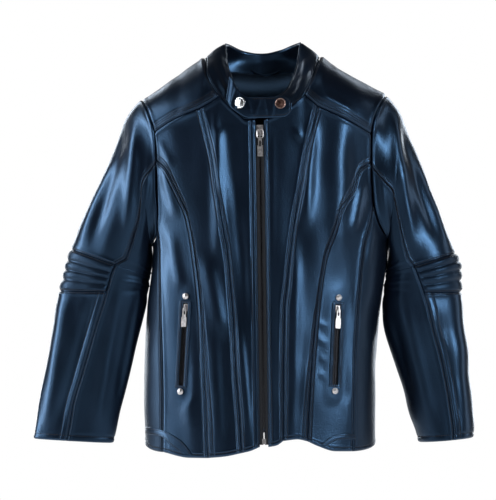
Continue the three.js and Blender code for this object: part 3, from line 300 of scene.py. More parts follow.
def grid_normals(P, wrap=False):
    if wrap:
        E = np.concatenate([P[-1:], P, P[:1]], 0)
        du = (E[2:] - E[:-2]) / 2
    else:
        du = np.gradient(P, axis=0)
    dv = np.gradient(P, axis=1)
    n = np.cross(du, dv)
    l = np.linalg.norm(n, axis=-1, keepdims=True)
    return n / np.maximum(l, 1e-9)


def shell_mesh(name, P, N, hi, lo, mat, wrap=False, weights=None):
    """A closed sheet: the grid P moved along N by hi outside and by lo inside."""
    I, J = P.shape[:2]
    V = np.concatenate([(P + N * np.asarray(hi)[..., None]).reshape(-1, 3), (P + N * np.asarray(lo)[..., None]).reshape(-1, 3)])
    idx = np.arange(I * J).reshape(I, J)
    if wrap:
        idx = np.concatenate([idx, idx[:1]], 0)
    a, b, c, d = idx[:-1, :-1], idx[1:, :-1], idx[1:, 1:], idx[:-1, 1:]
    top = np.stack([a, b, c, d], -1).reshape(-1, 4)
    M = I * J
    faces = [top, top[:, ::-1] + M]
    e = [(idx[:, 0], 1), (idx[:, -1], 0)] + ([] if wrap else [(idx[0, :], 0), (idx[-1, :], 1)])
    for run, flip in e:
        s, t = run[:-1], run[1:]
        q = np.stack([s, t, t + M, s + M], -1)
        faces.append(q[:, ::-1] if flip else q)
    w = None if weights is None else np.concatenate([weights.ravel(), weights.ravel()])
    return new_mesh(name, V, np.concatenate(faces), mat, w)


def shares(length, step, fine=True):
    """Places from 0 to 1 along a length in millimetres, closer together near both ends."""
    edge = [0, 0.6, 1.2, 1.8, 2.4, 3.0, 3.7, 4.4, 5.1, 5.8, 6.5, 7.3, 8.2, 9.2, 10.2, 11.4, 12.6, 14.0] if fine else [0]
    edge = [e for e in edge if e < length * 0.3]
    n = max(2, int(round((length - 2 * edge[-1]) / step)))
    mid = np.linspace(edge[-1], length - edge[-1], n + 1)
    s = np.concatenate([edge[:-1], mid, [length - e for e in edge[:-1]][::-1]])
    return s / length


def coons(top, bottom, left, right, A, B):
    T, Bo, Le, Ri = top(A), bottom(A), left(B), right(B)
    a, b = A[:, None, None], B[None, :, None]
    return (1 - b) * T[:, None] + b * Bo[:, None] + (1 - a) * Le[None] + a * Ri[None] - ((1 - a) * (1 - b) * T[0] + a * (1 - b) * T[-1] + (1 - a) * b * Bo[0] + a * b * Bo[-1])


SHELL = 0.7


def edge_distance(P, wrap=False):
    """Distance in the sheet from each point to the edges i=0, i=end, j=0, j=end."""
    di = np.linalg.norm(np.diff(P, axis=0), axis=-1)
    dj = np.linalg.norm(np.diff(P, axis=1), axis=-1)
    ci = np.concatenate([np.zeros((1, P.shape[1])), np.cumsum(di, 0)], 0)
    cj = np.concatenate([np.zeros((P.shape[0], 1)), np.cumsum(dj, 1)], 1)
    return [ci, ci[-1:] - ci, cj, cj[:, -1:] - cj]


def panel(name, surface, top, bottom, left, right, size, mat, rows=(), step=3.2, shape=None, seams=(1, 1, 1, 1), weight=None, body="jacket", replaces=(), extra=None, grid=None, outward=None):
    """One leather panel: a patch of a surface with turned edges, grooves at the stitching and folds; rows lists (edge, distance in mm)."""
    A, B = shares(size[0], step), shares(size[1], step)
    Q = coons(top, bottom, left, right, A, B) if grid is None else grid(A, B)
    P = surface(Q)
    N = grid_normals(P)
    c = P.mean((0, 1)) if outward is None else None
    ref = outward(P) if outward else spine(P)
    flip = np.sign((N * (P - ref)).sum(-1).mean())
    N = N * flip
    D = edge_distance(P)
    d = shape(P, Q) if shape else body_shape(P)
    for e in range(4):
        if seams[e]:
            d = d - 1.5 * np.exp(-((D[e] / 1.3) ** 2)) + 0.75 * seams[e] * np.exp(-(((D[e] - 4.2) / 3.4) ** 2))
    for e, dist in rows:
        d = d - 1.15 * np.exp(-(((D[e] - dist) / 0.95) ** 2))
    if extra is not None:
        d = d + extra(P, Q, D)
    edge = np.minimum.reduce(D)
    turn = 0.5 * np.exp(-((edge / 0.6) ** 2))
    gap = np.zeros_like(P)
    outer = P + N * (SHELL + d)[..., None]
    ob = shell_mesh("skin_" + name, P, N, SHELL + d - turn, -SHELL + d, mat, weights=None if weight is None else weight(Q))
    if flip < 0:
        ob.data.flip_normals()
    W = None if weight is None else weight(Q)
    PANELS[name] = dict(outer=outer, N=N, D=D, W=W, Q=Q, body=body, d=d)
    place(ob, body)
    for n in replaces:
        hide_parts(n)
    for e, dist in rows:
        row_on(name, e, dist)
    return ob


BLENDS = {}


def place(ob, body):
    if isinstance(body, str):
        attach(ob, body)
    else:
        a, b, start, end = body
        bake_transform(ob)
        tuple(start)
        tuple(end)


STITCHES = {}


def row_on(name, e, dist, t0=0.0, t1=1.0, pitch=3.6, length=2.6, lift=0.12):
    """Collects the stitches of one row, which runs beside edge e of a panel at a distance in mm."""
    p = PANELS[name]
    S, Nn, D, W = p["outer"], p["N"], p["D"][e], p["W"]
    ax = 0 if e < 2 else 1
    if ax == 1:
        S, Nn, D = S.swapaxes(0, 1), Nn.swapaxes(0, 1), D.T
        W = None if W is None else W.T
    if e in (1, 3):
        S, Nn, D = S[::-1], Nn[::-1], D[::-1]
        W = None if W is None else W[::-1]
    pts, nor, ws = [], [], []
    for j in range(S.shape[1]):
        if D[-1, j] < dist * 2:
            continue
        i = int(np.clip(np.searchsorted(D[:, j], dist) - 1, 0, S.shape[0] - 2))
        f = (dist - D[i, j]) / max(1e-9, D[i + 1, j] - D[i, j])
        pts.append(lerp(S[i, j], S[i + 1, j], f))
        nor.append(Nn[i, j])
        ws.append(0 if W is None else lerp(W[i, j], W[i + 1, j], f))
    if len(pts) < 4:
        return
    pts, nor, ws = np.array(pts), np.array(nor), np.array(ws)
    s = np.concatenate([[0], np.cumsum(np.linalg.norm(np.diff(pts, axis=0), axis=1))])
    a, b = s[-1] * t0 + 1.5, s[-1] * t1 - 1.5
    stitch_run(name, pts, nor, ws, s, a, b, pitch, length, lift)


def stitch_run(key, pts, nor, ws, s, a, b, pitch, length, lift, r=0.5):
    at = lambda q, arr: np.stack([np.interp(q, s, arr[:, c]) for c in range(3)], -1)
    c = np.arange(a, b - length, pitch)
    if not len(c):
        return
    p0, p1, pm = at(c, pts), at(c + length, pts), at(c + length / 2, pts)
    n = at(c + length / 2, nor)
    n /= np.linalg.norm(n, axis=1, keepdims=True)
    d = p1 - p0
    d /= np.maximum(1e-9, np.linalg.norm(d, axis=1, keepdims=True))
    side = np.cross(d, n)
    w = np.interp(c + length / 2, s, ws)
    prof = [(-1, 0, -0.3), (-0.8, 0.8, 0.1), (0, 1.0, 0.3), (0.8, 0.8, 0.1), (1, 0, -0.3)]
    V = []
    for along, wide, up in prof:
        base = pm + d * (along * length / 2) + n * (lift + up * r)
        if wide == 0:
            V.append(base[:, None])
        else:
            V.append(np.stack([base + side * r * wide, base + n * r * 0.8 * wide, base - side * r * wide], 1))
    V = np.concatenate(V, 1)  # 1 + 3 + 3 + 3 + 1 = 11
    F = []
    for k in range(2):
        F += [(0, 1 + k, 2 + k), (10, 9 - k, 8 - k)]
    for g in range(2):
        for k in range(2):
            F.append((1 + 3 * g + k, 4 + 3 * g + k, 5 + 3 * g + k, 2 + 3 * g + k))
    STITCHES.setdefault(key, []).append((V, F, w))


def spine(P):
    return np.stack([np.clip(P[..., 0], -120, 120) * 0.6, np.zeros(P.shape[:-1]), np.minimum(P[..., 2], -60) - 20], -1)


# ------------------------------------------------------------------ materials
def node_mat(name):
    m = bpy.data.materials.new(name)
    m.use_nodes = True
    nt = m.node_tree
    b = nt.nodes["Principled BSDF"]
    return m, nt, b


def mapped_noise(nt, scale, detail=4, rough=0.55, stretch=None):
    tc = nt.nodes.new("ShaderNodeTexCoord")
    nz = nt.nodes.new("ShaderNodeTexNoise")
    nz.inputs["Scale"].default_value = scale
    nz.inputs["Detail"].default_value = detail
    nz.inputs["Roughness"].default_value = rough
    if stretch:
        mp = nt.nodes.new("ShaderNodeMapping")
        mp.inputs["Scale"].default_value = stretch
        nt.links.new(tc.outputs["Object"], mp.inputs["Vector"])
        nt.links.new(mp.outputs["Vector"], nz.inputs["Vector"])
    else:
        nt.links.new(tc.outputs["Object"], nz.inputs["Vector"])
    return nz


def ramp(nt, src, stops):
    r = nt.nodes.new("ShaderNodeValToRGB")
    r.color_ramp.elements[0].position, r.color_ramp.elements[0].color = stops[0][0], stops[0][1]
    r.color_ramp.elements[1].position, r.color_ramp.elements[1].color = stops[-1][0], stops[-1][1]
    for p, c in stops[1:-1]:
        e = r.color_ramp.elements.new(p)
        e.color = c
    nt.links.new(src, r.inputs["Fac"])
    return r


def leather(name, dark, light, rough=(0.34, 0.52), grain=1.0, spec=0.6):
    m, nt, b = node_mat(name)
    big = mapped_noise(nt, 9, 5, 0.6)
    col = ramp(nt, big.outputs["Fac"], [(0.3, (*dark, 1)), (0.72, (*light, 1))])
    tc = nt.nodes.new("ShaderNodeTexCoord")
    vor = nt.nodes.new("ShaderNodeTexVoronoi")
    vor.feature = "F1"
    vor.inputs["Scale"].default_value = 620
    nt.links.new(tc.outputs["Object"], vor.inputs["Vector"])
    fine = mapped_noise(nt, 1500, 2, 0.5)
    mid = mapped_noise(nt, 300, 4, 0.62)
    vr = ramp(nt, vor.outputs["Distance"], [(0.15, (1, 1, 1, 1)), (0.62, (0, 0, 0, 1))])
    mix = nt.nodes.new("ShaderNodeMix")
    mix.data_type = "RGBA"
    mix.blend_type = "MULTIPLY"
    mix.inputs[0].default_value = 0.35
    nt.links.new(col.outputs["Color"], mix.inputs[6])
    vr2 = ramp(nt, vor.outputs["Distance"], [(0.2, (1.3, 1.3, 1.3, 1)), (0.7, (0.5, 0.5, 0.55, 1))])
    nt.links.new(vr2.outputs["Color"], mix.inputs[7])
    nt.links.new(mix.outputs[2], b.inputs["Base Color"])
    rr = nt.nodes.new("ShaderNodeMapRange")
    rr.inputs["To Min"].default_value, rr.inputs["To Max"].default_value = rough
    nt.links.new(mid.outputs["Fac"], rr.inputs["Value"])
    nt.links.new(rr.outputs["Result"], b.inputs["Roughness"])
    b1 = nt.nodes.new("ShaderNodeBump")
    b1.inputs["Strength"].default_value = 0.16 * grain
    b1.inputs["Distance"].default_value = 0.0004
    nt.links.new(vr.outputs["Color"], b1.inputs["Height"])
    b2 = nt.nodes.new("ShaderNodeBump")
    b2.inputs["Strength"].default_value = 0.13 * grain
    b2.inputs["Distance"].default_value = 0.0016
    nt.links.new(mid.outputs["Fac"], b2.inputs["Height"])
    nt.links.new(b1.outputs["Normal"], b2.inputs["Normal"])
    b3 = nt.nodes.new("ShaderNodeBump")
    b3.inputs["Strength"].default_value = 0.05 * grain
    b3.inputs["Distance"].default_value = 0.0002
    nt.links.new(fine.outputs["Fac"], b3.inputs["Height"])
    nt.links.new(b2.outputs["Normal"], b3.inputs["Normal"])
    nt.links.new(b3.outputs["Normal"], b.inputs["Normal"])
    b.inputs["Specular IOR Level"].default_value = spec
    b.inputs["Specular Tint"].default_value = (0.27, 0.56, 1.0, 1)
    b.inputs["Sheen Weight"].default_value = 0.012
    b.inputs["Sheen Roughness"].default_value = 0.45
    b.inputs["Sheen Tint"].default_value = (0.35, 0.6, 1.0, 1)
    return m


def cloth_mat(name, dark, light, scale=900, rough=0.75, sheen=0.2):
    m, nt, b = node_mat(name)
    n = mapped_noise(nt, 40, 4, 0.6)
    c = ramp(nt, n.outputs["Fac"], [(0.3, (*dark, 1)), (0.75, (*light, 1))])
    nt.links.new(c.outputs["Color"], b.inputs["Base Color"])
    b.inputs["Roughness"].default_value = rough
    tc = nt.nodes.new("ShaderNodeTexCoord")
    hs = []
    for direction in ("X", "Z"):
        w = nt.nodes.new("ShaderNodeTexWave")
        w.bands_direction = direction
        w.inputs["Scale"].default_value = scale
        w.inputs["Distortion"].default_value = 0.6
        nt.links.new(tc.outputs["Object"], w.inputs["Vector"])
        hs.append(w)
    mx = nt.nodes.new("ShaderNodeMath")
    mx.operation = "MULTIPLY"
    nt.links.new(hs[0].outputs["Fac"], mx.inputs[0])
    nt.links.new(hs[1].outputs["Fac"], mx.inputs[1])
    bp = nt.nodes.new("ShaderNodeBump")
    bp.inputs["Strength"].default_value = 0.35
    bp.inputs["Distance"].default_value = 0.0003
    nt.links.new(mx.outputs[0], bp.inputs["Height"])
    nt.links.new(bp.outputs["Normal"], b.inputs["Normal"])
    b.inputs["Sheen Weight"].default_value = sheen
    return m


def metal(name, dark, light, rough=(0.25, 0.5), bump=0.08):
    m, nt, b = node_mat(name)
    n = mapped_noise(nt, 320, 5, 0.65)
    c = ramp(nt, n.outputs["Fac"], [(0.35, (*dark, 1)), (0.68, (*light, 1))])
    nt.links.new(c.outputs["Color"], b.inputs["Base Color"])
    rr = nt.nodes.new("ShaderNodeMapRange")
    rr.inputs["To Min"].default_value, rr.inputs["To Max"].default_value = rough
    nt.links.new(n.outputs["Fac"], rr.inputs["Value"])
    nt.links.new(rr.outputs["Result"], b.inputs["Roughness"])
    b.inputs["Metallic"].default_value = 1.0
    bp = nt.nodes.new("ShaderNodeBump")
    bp.inputs["Strength"].default_value = bump
    bp.inputs["Distance"].default_value = 0.0003
    nt.links.new(n.outputs["Fac"], bp.inputs["Height"])
    nt.links.new(bp.outputs["Normal"], b.inputs["Normal"])
    return m


LEATHER = leather("leather_main", (0.0012, 0.0014, 0.0034), (0.0034, 0.0044, 0.0100), rough=(0.26, 0.37), spec=1.0)
LEATHER_B = leather("leather_under", (0.0011, 0.0013, 0.0030), (0.0030, 0.0038, 0.0082), rough=(0.36, 0.50), spec=0.7)
TRIM = leather("leather_trim", (0.0012, 0.0015, 0.0034), (0.0036, 0.0048, 0.0105), rough=(0.26, 0.38), grain=0.8, spec=1.0)
LINING = cloth_mat("lining_satin", (0.006, 0.0065, 0.009), (0.014, 0.015, 0.020), scale=1400, rough=0.5, sheen=0.3)
TAPE = cloth_mat("zip_tape_weave", (0.003, 0.0035, 0.006), (0.008, 0.009, 0.014), scale=700, sheen=0.05)
THREAD = cloth_mat("stitch_thread", (0.0040, 0.0026, 0.0050), (0.0120, 0.0085, 0.0140), scale=2500, rough=0.6, sheen=0.0)
NICKEL = metal("metal_nickel", (0.46, 0.42, 0.42), (0.86, 0.81, 0.80), rough=(0.26, 0.46))
BRONZE = metal("metal_bronze", (0.12, 0.060, 0.050), (0.34, 0.19, 0.155), rough=(0.30, 0.5))
SILVER = metal("metal_silver", (0.55, 0.55, 0.56), (0.88, 0.88, 0.90), rough=(0.16, 0.32))

# ------------------------------------------------------------------ seams of the body
T = lambda pts: trace(on_grid(pts))
S = dict(
    neckL=T([(255.5, 120.6), (246, 121), (237, 114), (228, 106.5), (220, 98)]), neckR=T([(263.8, 120.8), (278, 115), (291, 107), (303.5, 96)]),
    neckSideL=T([(205, 59), (206.5, 72), (212, 86), (220, 98)]), neckSideR=T([(320, 58), (312, 78), (303.5, 96)]),
    yokeInL=T([(220, 98), (210, 104.3), (200, 110)]), yokeOutL=T([(200, 110), (175, 120.5), (155, 133)]),
    yokeInR=T([(303.5, 96), (316.5, 107.5)]), yokeOutR=T([(316.5, 107.5), (345, 120.5), (370.2, 134.6)]),
    innerL=T([(200, 110), (206, 131), (213, 160), (217, 188), (222, 218), (228, 257), (231, 290), (234, 330), (236, 370), (240, 421), (241.5, 450)]),
    innerR=T([(316.5, 107.5), (306, 152), (300, 188), (294, 220), (289, 259), (286, 289), (284, 306), (283.4, 340), (283, 380), (283, 438)]),
    outerL=T([(157, 161), (168, 171), (175, 185), (182, 200), (188, 213), (193, 235), (197, 261), (200, 285), (203, 323), (204.5, 369), (206.5, 410), (208, 455)]),
    outerR=T([(369.9, 163), (359, 170), (349, 193), (338, 210), (331, 232), (322, 259), (317.5, 289), (313, 333), (309, 390), (307, 438.5)]),
    sideL=T([(158, 228), (160.5, 250), (161.5, 285), (163, 346), (164, 392), (164, 450)]),
    sideR=T([(372.4, 205), (370.6, 218), (363, 244), (358, 290), (354, 340), (352, 386), (351, 449)]),
)
zv = lambda v: float(gz(v))
S["armYokeL"], S["armMidL"], S["armSideL"] = arc(L, 0, angle_at(L, zv(133))), arc(L, angle_at(L, zv(133)), angle_at(L, zv(161))), arc(L, angle_at(L, zv(161)), angle_at(L, zv(228)))
S["armYokeR"], S["armMidR"], S["armSideR"] = arc(R, 0, angle_at(R, zv(134.6))), arc(R, angle_at(R, zv(134.6)), angle_at(R, zv(163))), arc(R, angle_at(R, zv(163)), angle_at(R, zv(205)))
HEM = dict(centreL=T([(259.9, 443.8), (250, 448), (241.5, 450)]), midL=T([(241.5, 450), (225, 453.4), (208, 455)]), sideL=T([(208, 455), (190, 455), (164, 450)]),
           centreR=T([(268.1, 444), (276, 442.5), (283, 438)]), midR=T([(283, 438), (297, 436.5), (307, 438.5)]), sideR=T([(307, 438.5), (318, 443.5), (334, 448.5), (351, 449)]))
zip_top, zip_end = np.array([float(gx(259.6)), zv(126)]), np.array([float(gx(263.9)), zv(443)])
zip_x = lambda z: lerp(zip_top[0], zip_end[0], (z - zip_top[1]) / (zip_end[1] - zip_top[1]))


def front_edge(sign, v0, v1, off=6.6):
    def run(t):
        z = lerp(zv(v0), zv(v1), np.asarray(t, float))
        return np.stack([zip_x(z) + sign * off, z], -1)
    run.length = abs(zv(v0) - zv(v1))
    return run


F = lambda run: mapped(run, lambda q: to_around(q, False))
FO = lambda run: mapped(run, lambda q: to_over(q, False))
J = lambda a, b: join(a, b)
TOPW = 110.0


def straight(a, b):
    a, b = np.array(a, float), np.array(b, float)
    run = lambda t: a + (b - a) * np.asarray(t, float)[..., None]
    run.length = float(np.linalg.norm(b - a))
    return run


# ------------------------------------------------------------------ places of the hardware
def unit(v):
    v = np.asarray(v, float)
    return v / np.linalg.norm(v)


def frame_at(o, l, out):
    l = unit(l)
    n = unit(np.asarray(out, float) - l * np.dot(out, l))
    return dict(o=np.asarray(o, float), t=np.cross(n, l), n=n, l=l)


def local(f, t, n, l):
    t, n, l = np.broadcast_arrays(np.asarray(t, float), np.asarray(n, float), np.asarray(l, float))
    return f["o"] + t[..., None] * f["t"] + n[..., None] * f["n"] + l[..., None] * f["l"]


on_front = lambda x, z: flat(x, z, False)
zA, zB = on_front(*zip_top), on_front(*zip_end)
ZIP = frame_at(zA, zB - zA, (0, -1, 0))
ZIP_LEN, MID = float(np.linalg.norm(zB - zA)), -2.2
POCKET = {}
for tag, p0, p1 in (("left", (186.5, 301.6), (182, 384.5)), ("right", (337, 303), (333.7, 383.8))):
    A_, B_ = on_front(gx(p0[0]), gz(p0[1])), on_front(gx(p1[0]), gz(p1[1]))
    m_ = (A_ + B_) / 2
    out_ = np.cross(on_front(m_[0] + 4, m_[2]) - on_front(m_[0] - 4, m_[2]), on_front(m_[0], m_[2] + 4) - on_front(m_[0], m_[2] - 4))
    f_ = frame_at(A_, B_ - A_, out_ if out_[1] < 0 else -out_)
    f_["len"] = float(np.linalg.norm(B_ - A_))
    POCKET[tag] = f_


def calm(P):
    """1 where the leather is free to wave, near 0 under the hardware."""
    m = np.ones(P.shape[:-1])
    for f in POCKET.values():
        r = P - f["o"]
        l, t = r @ f["l"], r @ f["t"]
        d = np.hypot(t, l - np.clip(l, -10, f["len"] + 9)) + np.abs(r @ f["n"]) * 0.3
        m = m * smooth(10, 30, d)
    z = P[..., 2]
    m = m * np.where(P[..., 1] < 0, smooth(5, 26, np.abs(P[..., 0] - zip_x(z)) - 2), 1)
    strap = np.where(P[..., 1] < -60, 1 - smooth(2, 18, np.abs(P[..., 0] + 4) - 56) * 1.0, 0) * (1 - smooth(6, 22, np.abs(z + 68) - 18))
    return m * (1 - 0.9 * np.clip(strap, 0, 1))


def body_shape(P, Q=None):
    front = smooth(0, 25, -P[..., 1])
    f = ridges(P, FOLDS) + waves(P, 3, (38, 130), 1.15, 30, (1, 1, 0.3))
    b = ridges(P, BACK_FOLDS) + waves(P, 4, (50, 200), 2.0, 22)
    row = 68 - P[..., 2] / 1.6
    u = 262 + P[..., 0] / 1.6
    out = np.clip(1 - np.minimum(u - 152, 386 - u) / 8, 0, 1)
    near = 1.0 * smooth(245, 266, row) * (1 - smooth(300, 316, row)) * out
    return (front * f + (1 - front) * b) * calm(P) + near


# Folds seen on the front: pattern grid from, to, half width, height in mm.
FOLDS += [
    (218, 122, 219, 250, 6, 3.6), (208, 262, 222, 330, 8, 2.8), (182, 318, 194, 440, 8, 2.4), (214, 340, 220, 440, 6, 1.8), (231, 150, 246, 300, 6, -1.6),
    (342, 122, 337, 250, 11, 4.0), (312, 132, 304, 222, 6, 3.0), (360, 188, 352, 228, 5, 1.8), (296, 250, 292, 420, 5, 1.6), (350, 300, 346, 430, 6, 1.6),
    (318, 322, 329, 326, 3.2, 0.7), (317, 337, 328, 343, 3.6, 0.8), (319, 356, 329, 360, 3.0, 0.6), (318, 371, 327, 377, 3.4, 0.7), (172, 236, 184, 300, 5, 1.6), (164, 170, 176, 214, 5, 1.8),
    (240, 330, 250, 432, 4, 1.4), (272, 150, 271, 260, 3, 1.0), (160, 142, 172, 166, 4, 1.4), (372, 230, 366, 262, 4, 1.4), (238, 112, 250, 128, 3, 1.2),
    (290, 118, 300, 140, 4, 1.6), (206, 100, 180, 118, 4, 1.6), (322, 98, 350, 112, 4, 1.6),
]
BACK_FOLDS += [(200, 190, 214, 420, 9, 3.0), (262, 250, 262, 430, 10, -2.2), (322, 190, 310, 420, 9, 3.0), (180, 130, 344, 138, 7, 1.6)]

rows4 = lambda e: [(e, 2.4), (e, 5.8), (e, 9.2), (e, 12.6)]
rows2 = lambda e: [(e, 2.2), (e, 7.6)]

# ------------------------------------------------------------------ front panels
back_edge = lambda pts: (lambda xs: straight((xs[0], -0.32), (xs[1], -0.32)))([float(gx(pts[0])), float(gx(pts[1]))])


def with_corner(corner, run):
    """A run over the shoulder that starts behind the ridge at the corner and follows the front run from the ridge on."""
    c = np.array(corner, float)
    def f(t):
        t = np.asarray(t, float)
        q = run(np.clip((t - 0.18) / 0.82, 0, 1))
        first = c + (run(np.zeros(1))[0] - c) * np.clip(t / 0.18, 0, 1)[..., None]
        return np.where((t < 0.18)[..., None], first, q)

    return f


for tag, side, X, ends in (("left", L, "L", (205.5, 143.4)), ("right", R, "R", (319.6, 384.7))):
    top = back_edge(ends)
    bot = FO(join(S["yokeIn" + X], S["yokeOut" + X]))
    lf = with_corner(top(np.zeros(1))[0], FO(S["neckSide" + X]))
    rt = with_corner(top(np.ones(1))[0], FO(S["armYoke" + X]))
    panel("yoke_" + tag, over, top, bot, lf, rt, (110, 95), LEATHER, rows=rows4(3) + [(0, 2.4)], step=3.4, replaces=("yoke_" + tag,))
HEMROWS = [(3, 6.0)]
panel("front_centre_left", around, F(join(S["neckL"], S["yokeInL"])), F(HEM["centreL"]), F(front_edge(-1, 120.6, 443.8)), F(S["innerL"]), (75, 540), LEATHER, rows=[(0, 2.2), (0, 9.5), (1, 2.4), (1, 5.8)] + HEMROWS, replaces=("front_centre_left",))
panel("front_centre_right", around, F(join(S["neckR"], S["yokeInR"])), F(HEM["centreR"]), F(front_edge(1, 120.8, 444)), F(S["innerR"]), (65, 530), LEATHER, rows=[(0, 2.2), (0, 6.5), (1, 2.4), (1, 5.8)] + HEMROWS, replaces=("front_centre_right",))
panel("front_middle_left", around, F(join(S["yokeOutL"], S["armMidL"])), F(HEM["midL"]), F(S["innerL"]), F(S["outerL"]), (70, 540), LEATHER, rows=[(0, 2.6), (0, 6.2), (1, 2.6), (1, 6.2), (1, 9.8)] + HEMROWS, replaces=("front_middle_left",))
panel("front_middle_right", around, F(join(S["yokeOutR"], S["armMidR"])), F(HEM["midR"]), F(S["innerR"]), F(S["outerR"]), (70, 520), LEATHER, rows=[(0, 2.6), (0, 6.2), (1, 2.6), (1, 6.2), (1, 9.8)] + HEMROWS, replaces=("front_middle_right",))
for tag, side, X, v in (("left", L, "L", 161), ("right", R, "R", 163)):
    a0 = S["outer" + X](np.zeros(1))[0]
    a1 = loop_xz(side, np.array([angle_at(side, zv(v) - 4)]))[0]
    v_end = 228 if X == "L" else 205
    armR = arc(side, angle_at(side, zv(v) - 4), angle_at(side, zv(v_end)))
    panel("front_side_" + tag, around, F(straight(a0, a1)), F(HEM["side" + X]), F(S["outer" + X]), F(join(armR, S["side" + X])), (85, 470), LEATHER, rows=[(0, 2.2), (0, 5.4)] + HEMROWS, replaces=("front_side_" + tag,))

# ------------------------------------------------------------------ sides and back
HEM_BACK = zv(435)
BACK_SIDE = {}
for tag, side, X in (("left", L, "L"), ("right", R, "R")):
    sgn, seam = side["sign"], S["side" + X]
    z0 = float(seam(np.zeros(1))[0, 1])
    z1 = float(seam(np.ones(1))[0, 1])
    a = angle_at(side, z0)

    def top(t, side=side, a=a, sgn=sgn):
        th = lerp(a, 2 * math.pi - a, np.asarray(t, float))
        p = loop(side, th)
        q = to_around(p[..., [0, 2]], False)
        qb = to_around(p[..., [0, 2]], True)
        return np.where((np.sin(th) < 0)[..., None], qb, q)

    fr = F(seam)

    def bk(t, fr=fr, sgn=sgn, z0=z0, side=side, a=a):
        q = fr(t)
        return np.stack([sgn * (math.pi - np.abs(q[..., 0])), lerp(z0, HEM_BACK, np.asarray(t, float))], -1)

    bk.length = fr.length if hasattr(fr, "length") else 330
    BACK_SIDE[X] = bk
    f1, b1_ = fr(np.ones(1))[0], bk(np.ones(1))[0]

    def bottom(t, f1=f1, b1_=b1_, z1=z1):
        t = np.asarray(t, float)
        return np.stack([lerp(f1[0], b1_[0], t), lerp(z1, HEM_BACK, (1 - np.cos(np.pi * t)) / 2)], -1)

    panel("side_" + tag, around, top, bottom, fr, bk, (170, 350), LEATHER_B, rows=[(0, 2.2), (0, 6.4), (1, 2.4), (3, 6.0)], step=4.0, replaces=("side_" + tag,))

YB = zv(150)
back_arm = lambda side, z0, z1: (lambda t: loop_xz(side, 2 * math.pi - lerp(angle_at(side, z0), angle_at(side, z1), np.asarray(t, float))))
neck_over = trace([(-90.5, -0.32), (-75, -0.34), (-45, -0.53), (0, -0.58), (45, -0.53), (77, -0.34), (91.4, -0.32)])
xl, xr = float(gx(143.4)), float(gx(384.7))


def yoke_top(t):
    x = lerp(xl, xr, np.asarray(t, float))
    s = np.interp(x, neck_over(np.linspace(0, 1, 60))[:, 0], neck_over(np.linspace(0, 1, 60))[:, 1], left=-0.32, right=-0.32)
    return np.stack([x, s], -1)


zr = {X: float(over(np.array([[x, -0.32]]))[0, 2]) for X, x in (("L", xl), ("R", xr))}
xbl, xbr = float(loop_xz(L, np.array([2 * math.pi - angle_at(L, YB)]))[0, 0]), float(loop_xz(R, np.array([2 * math.pi - angle_at(R, YB)]))[0, 0])


def yoke_side(side, x0, z0):
    run = mapped(back_arm(side, z0, YB), lambda q: to_over(q, True))
    first = np.array([x0, -0.32])
    def f(t):
        t = np.asarray(t, float)
        q = run(t)
        w = np.exp(-t / 0.06)[..., None]
        return q + (first - run(np.zeros(1))[0]) * w
    return f


panel("back_yoke", over, yoke_top, mapped(straight((xbl, YB), (xbr, YB)), lambda q: to_over(q, True)), yoke_side(L, xl, zr["L"]), yoke_side(R, xr, zr["R"]), (390, 150), LEATHER, rows=rows4(3), step=4.0, replaces=("back_yoke",))
for tag, side, X in (("left", L, "L"), ("right", R, "R")):
    sgn = side["sign"]
    bs = BACK_SIDE[X]
    z0 = float(S["side" + X](np.zeros(1))[0, 1])
    xa = float(loop_xz(side, np.array([2 * math.pi - angle_at(side, YB)]))[0, 0])
    arm = mapped(back_arm(side, YB, z0), lambda q: to_around(q, True))
    share = (YB - z0) / (YB - HEM_BACK)
    outer = (lambda arm, bs, share: (lambda t: np.where((np.asarray(t) <= share)[..., None], arm(np.clip(np.asarray(t) / share, 0, 1)), bs(np.clip((np.asarray(t) - share) / (1 - share), 0, 1)))))(arm, bs, share)
    xb = float(around(bs(np.ones(1)))[0, 0])
    fixs = lambda q, sgn=sgn: np.stack([np.where(q[..., 0] * sgn < 0, -q[..., 0], q[..., 0]), q[..., 1]], -1)
    topr = mapped(straight((sgn * 1e-3, YB), (xa, YB)), lambda q, fixs=fixs: fixs(to_around(q, True)))
    botr = mapped(straight((sgn * 1e-3, HEM_BACK), (xb, HEM_BACK)), lambda q, fixs=fixs: fixs(to_around(q, True)))
    inner = lambda t, sgn=sgn: np.stack([np.full(np.shape(t), sgn * (math.pi - 1e-4)), lerp(YB, HEM_BACK, np.asarray(t, float))], -1)
    panel("back_" + tag, around, topr, botr, inner, outer, (170, 460), LEATHER, rows=[(0, 2.4), (1, 2.4), (1, 6.4), (3, 6.0)], step=4.2, replaces=("back_" + tag,))

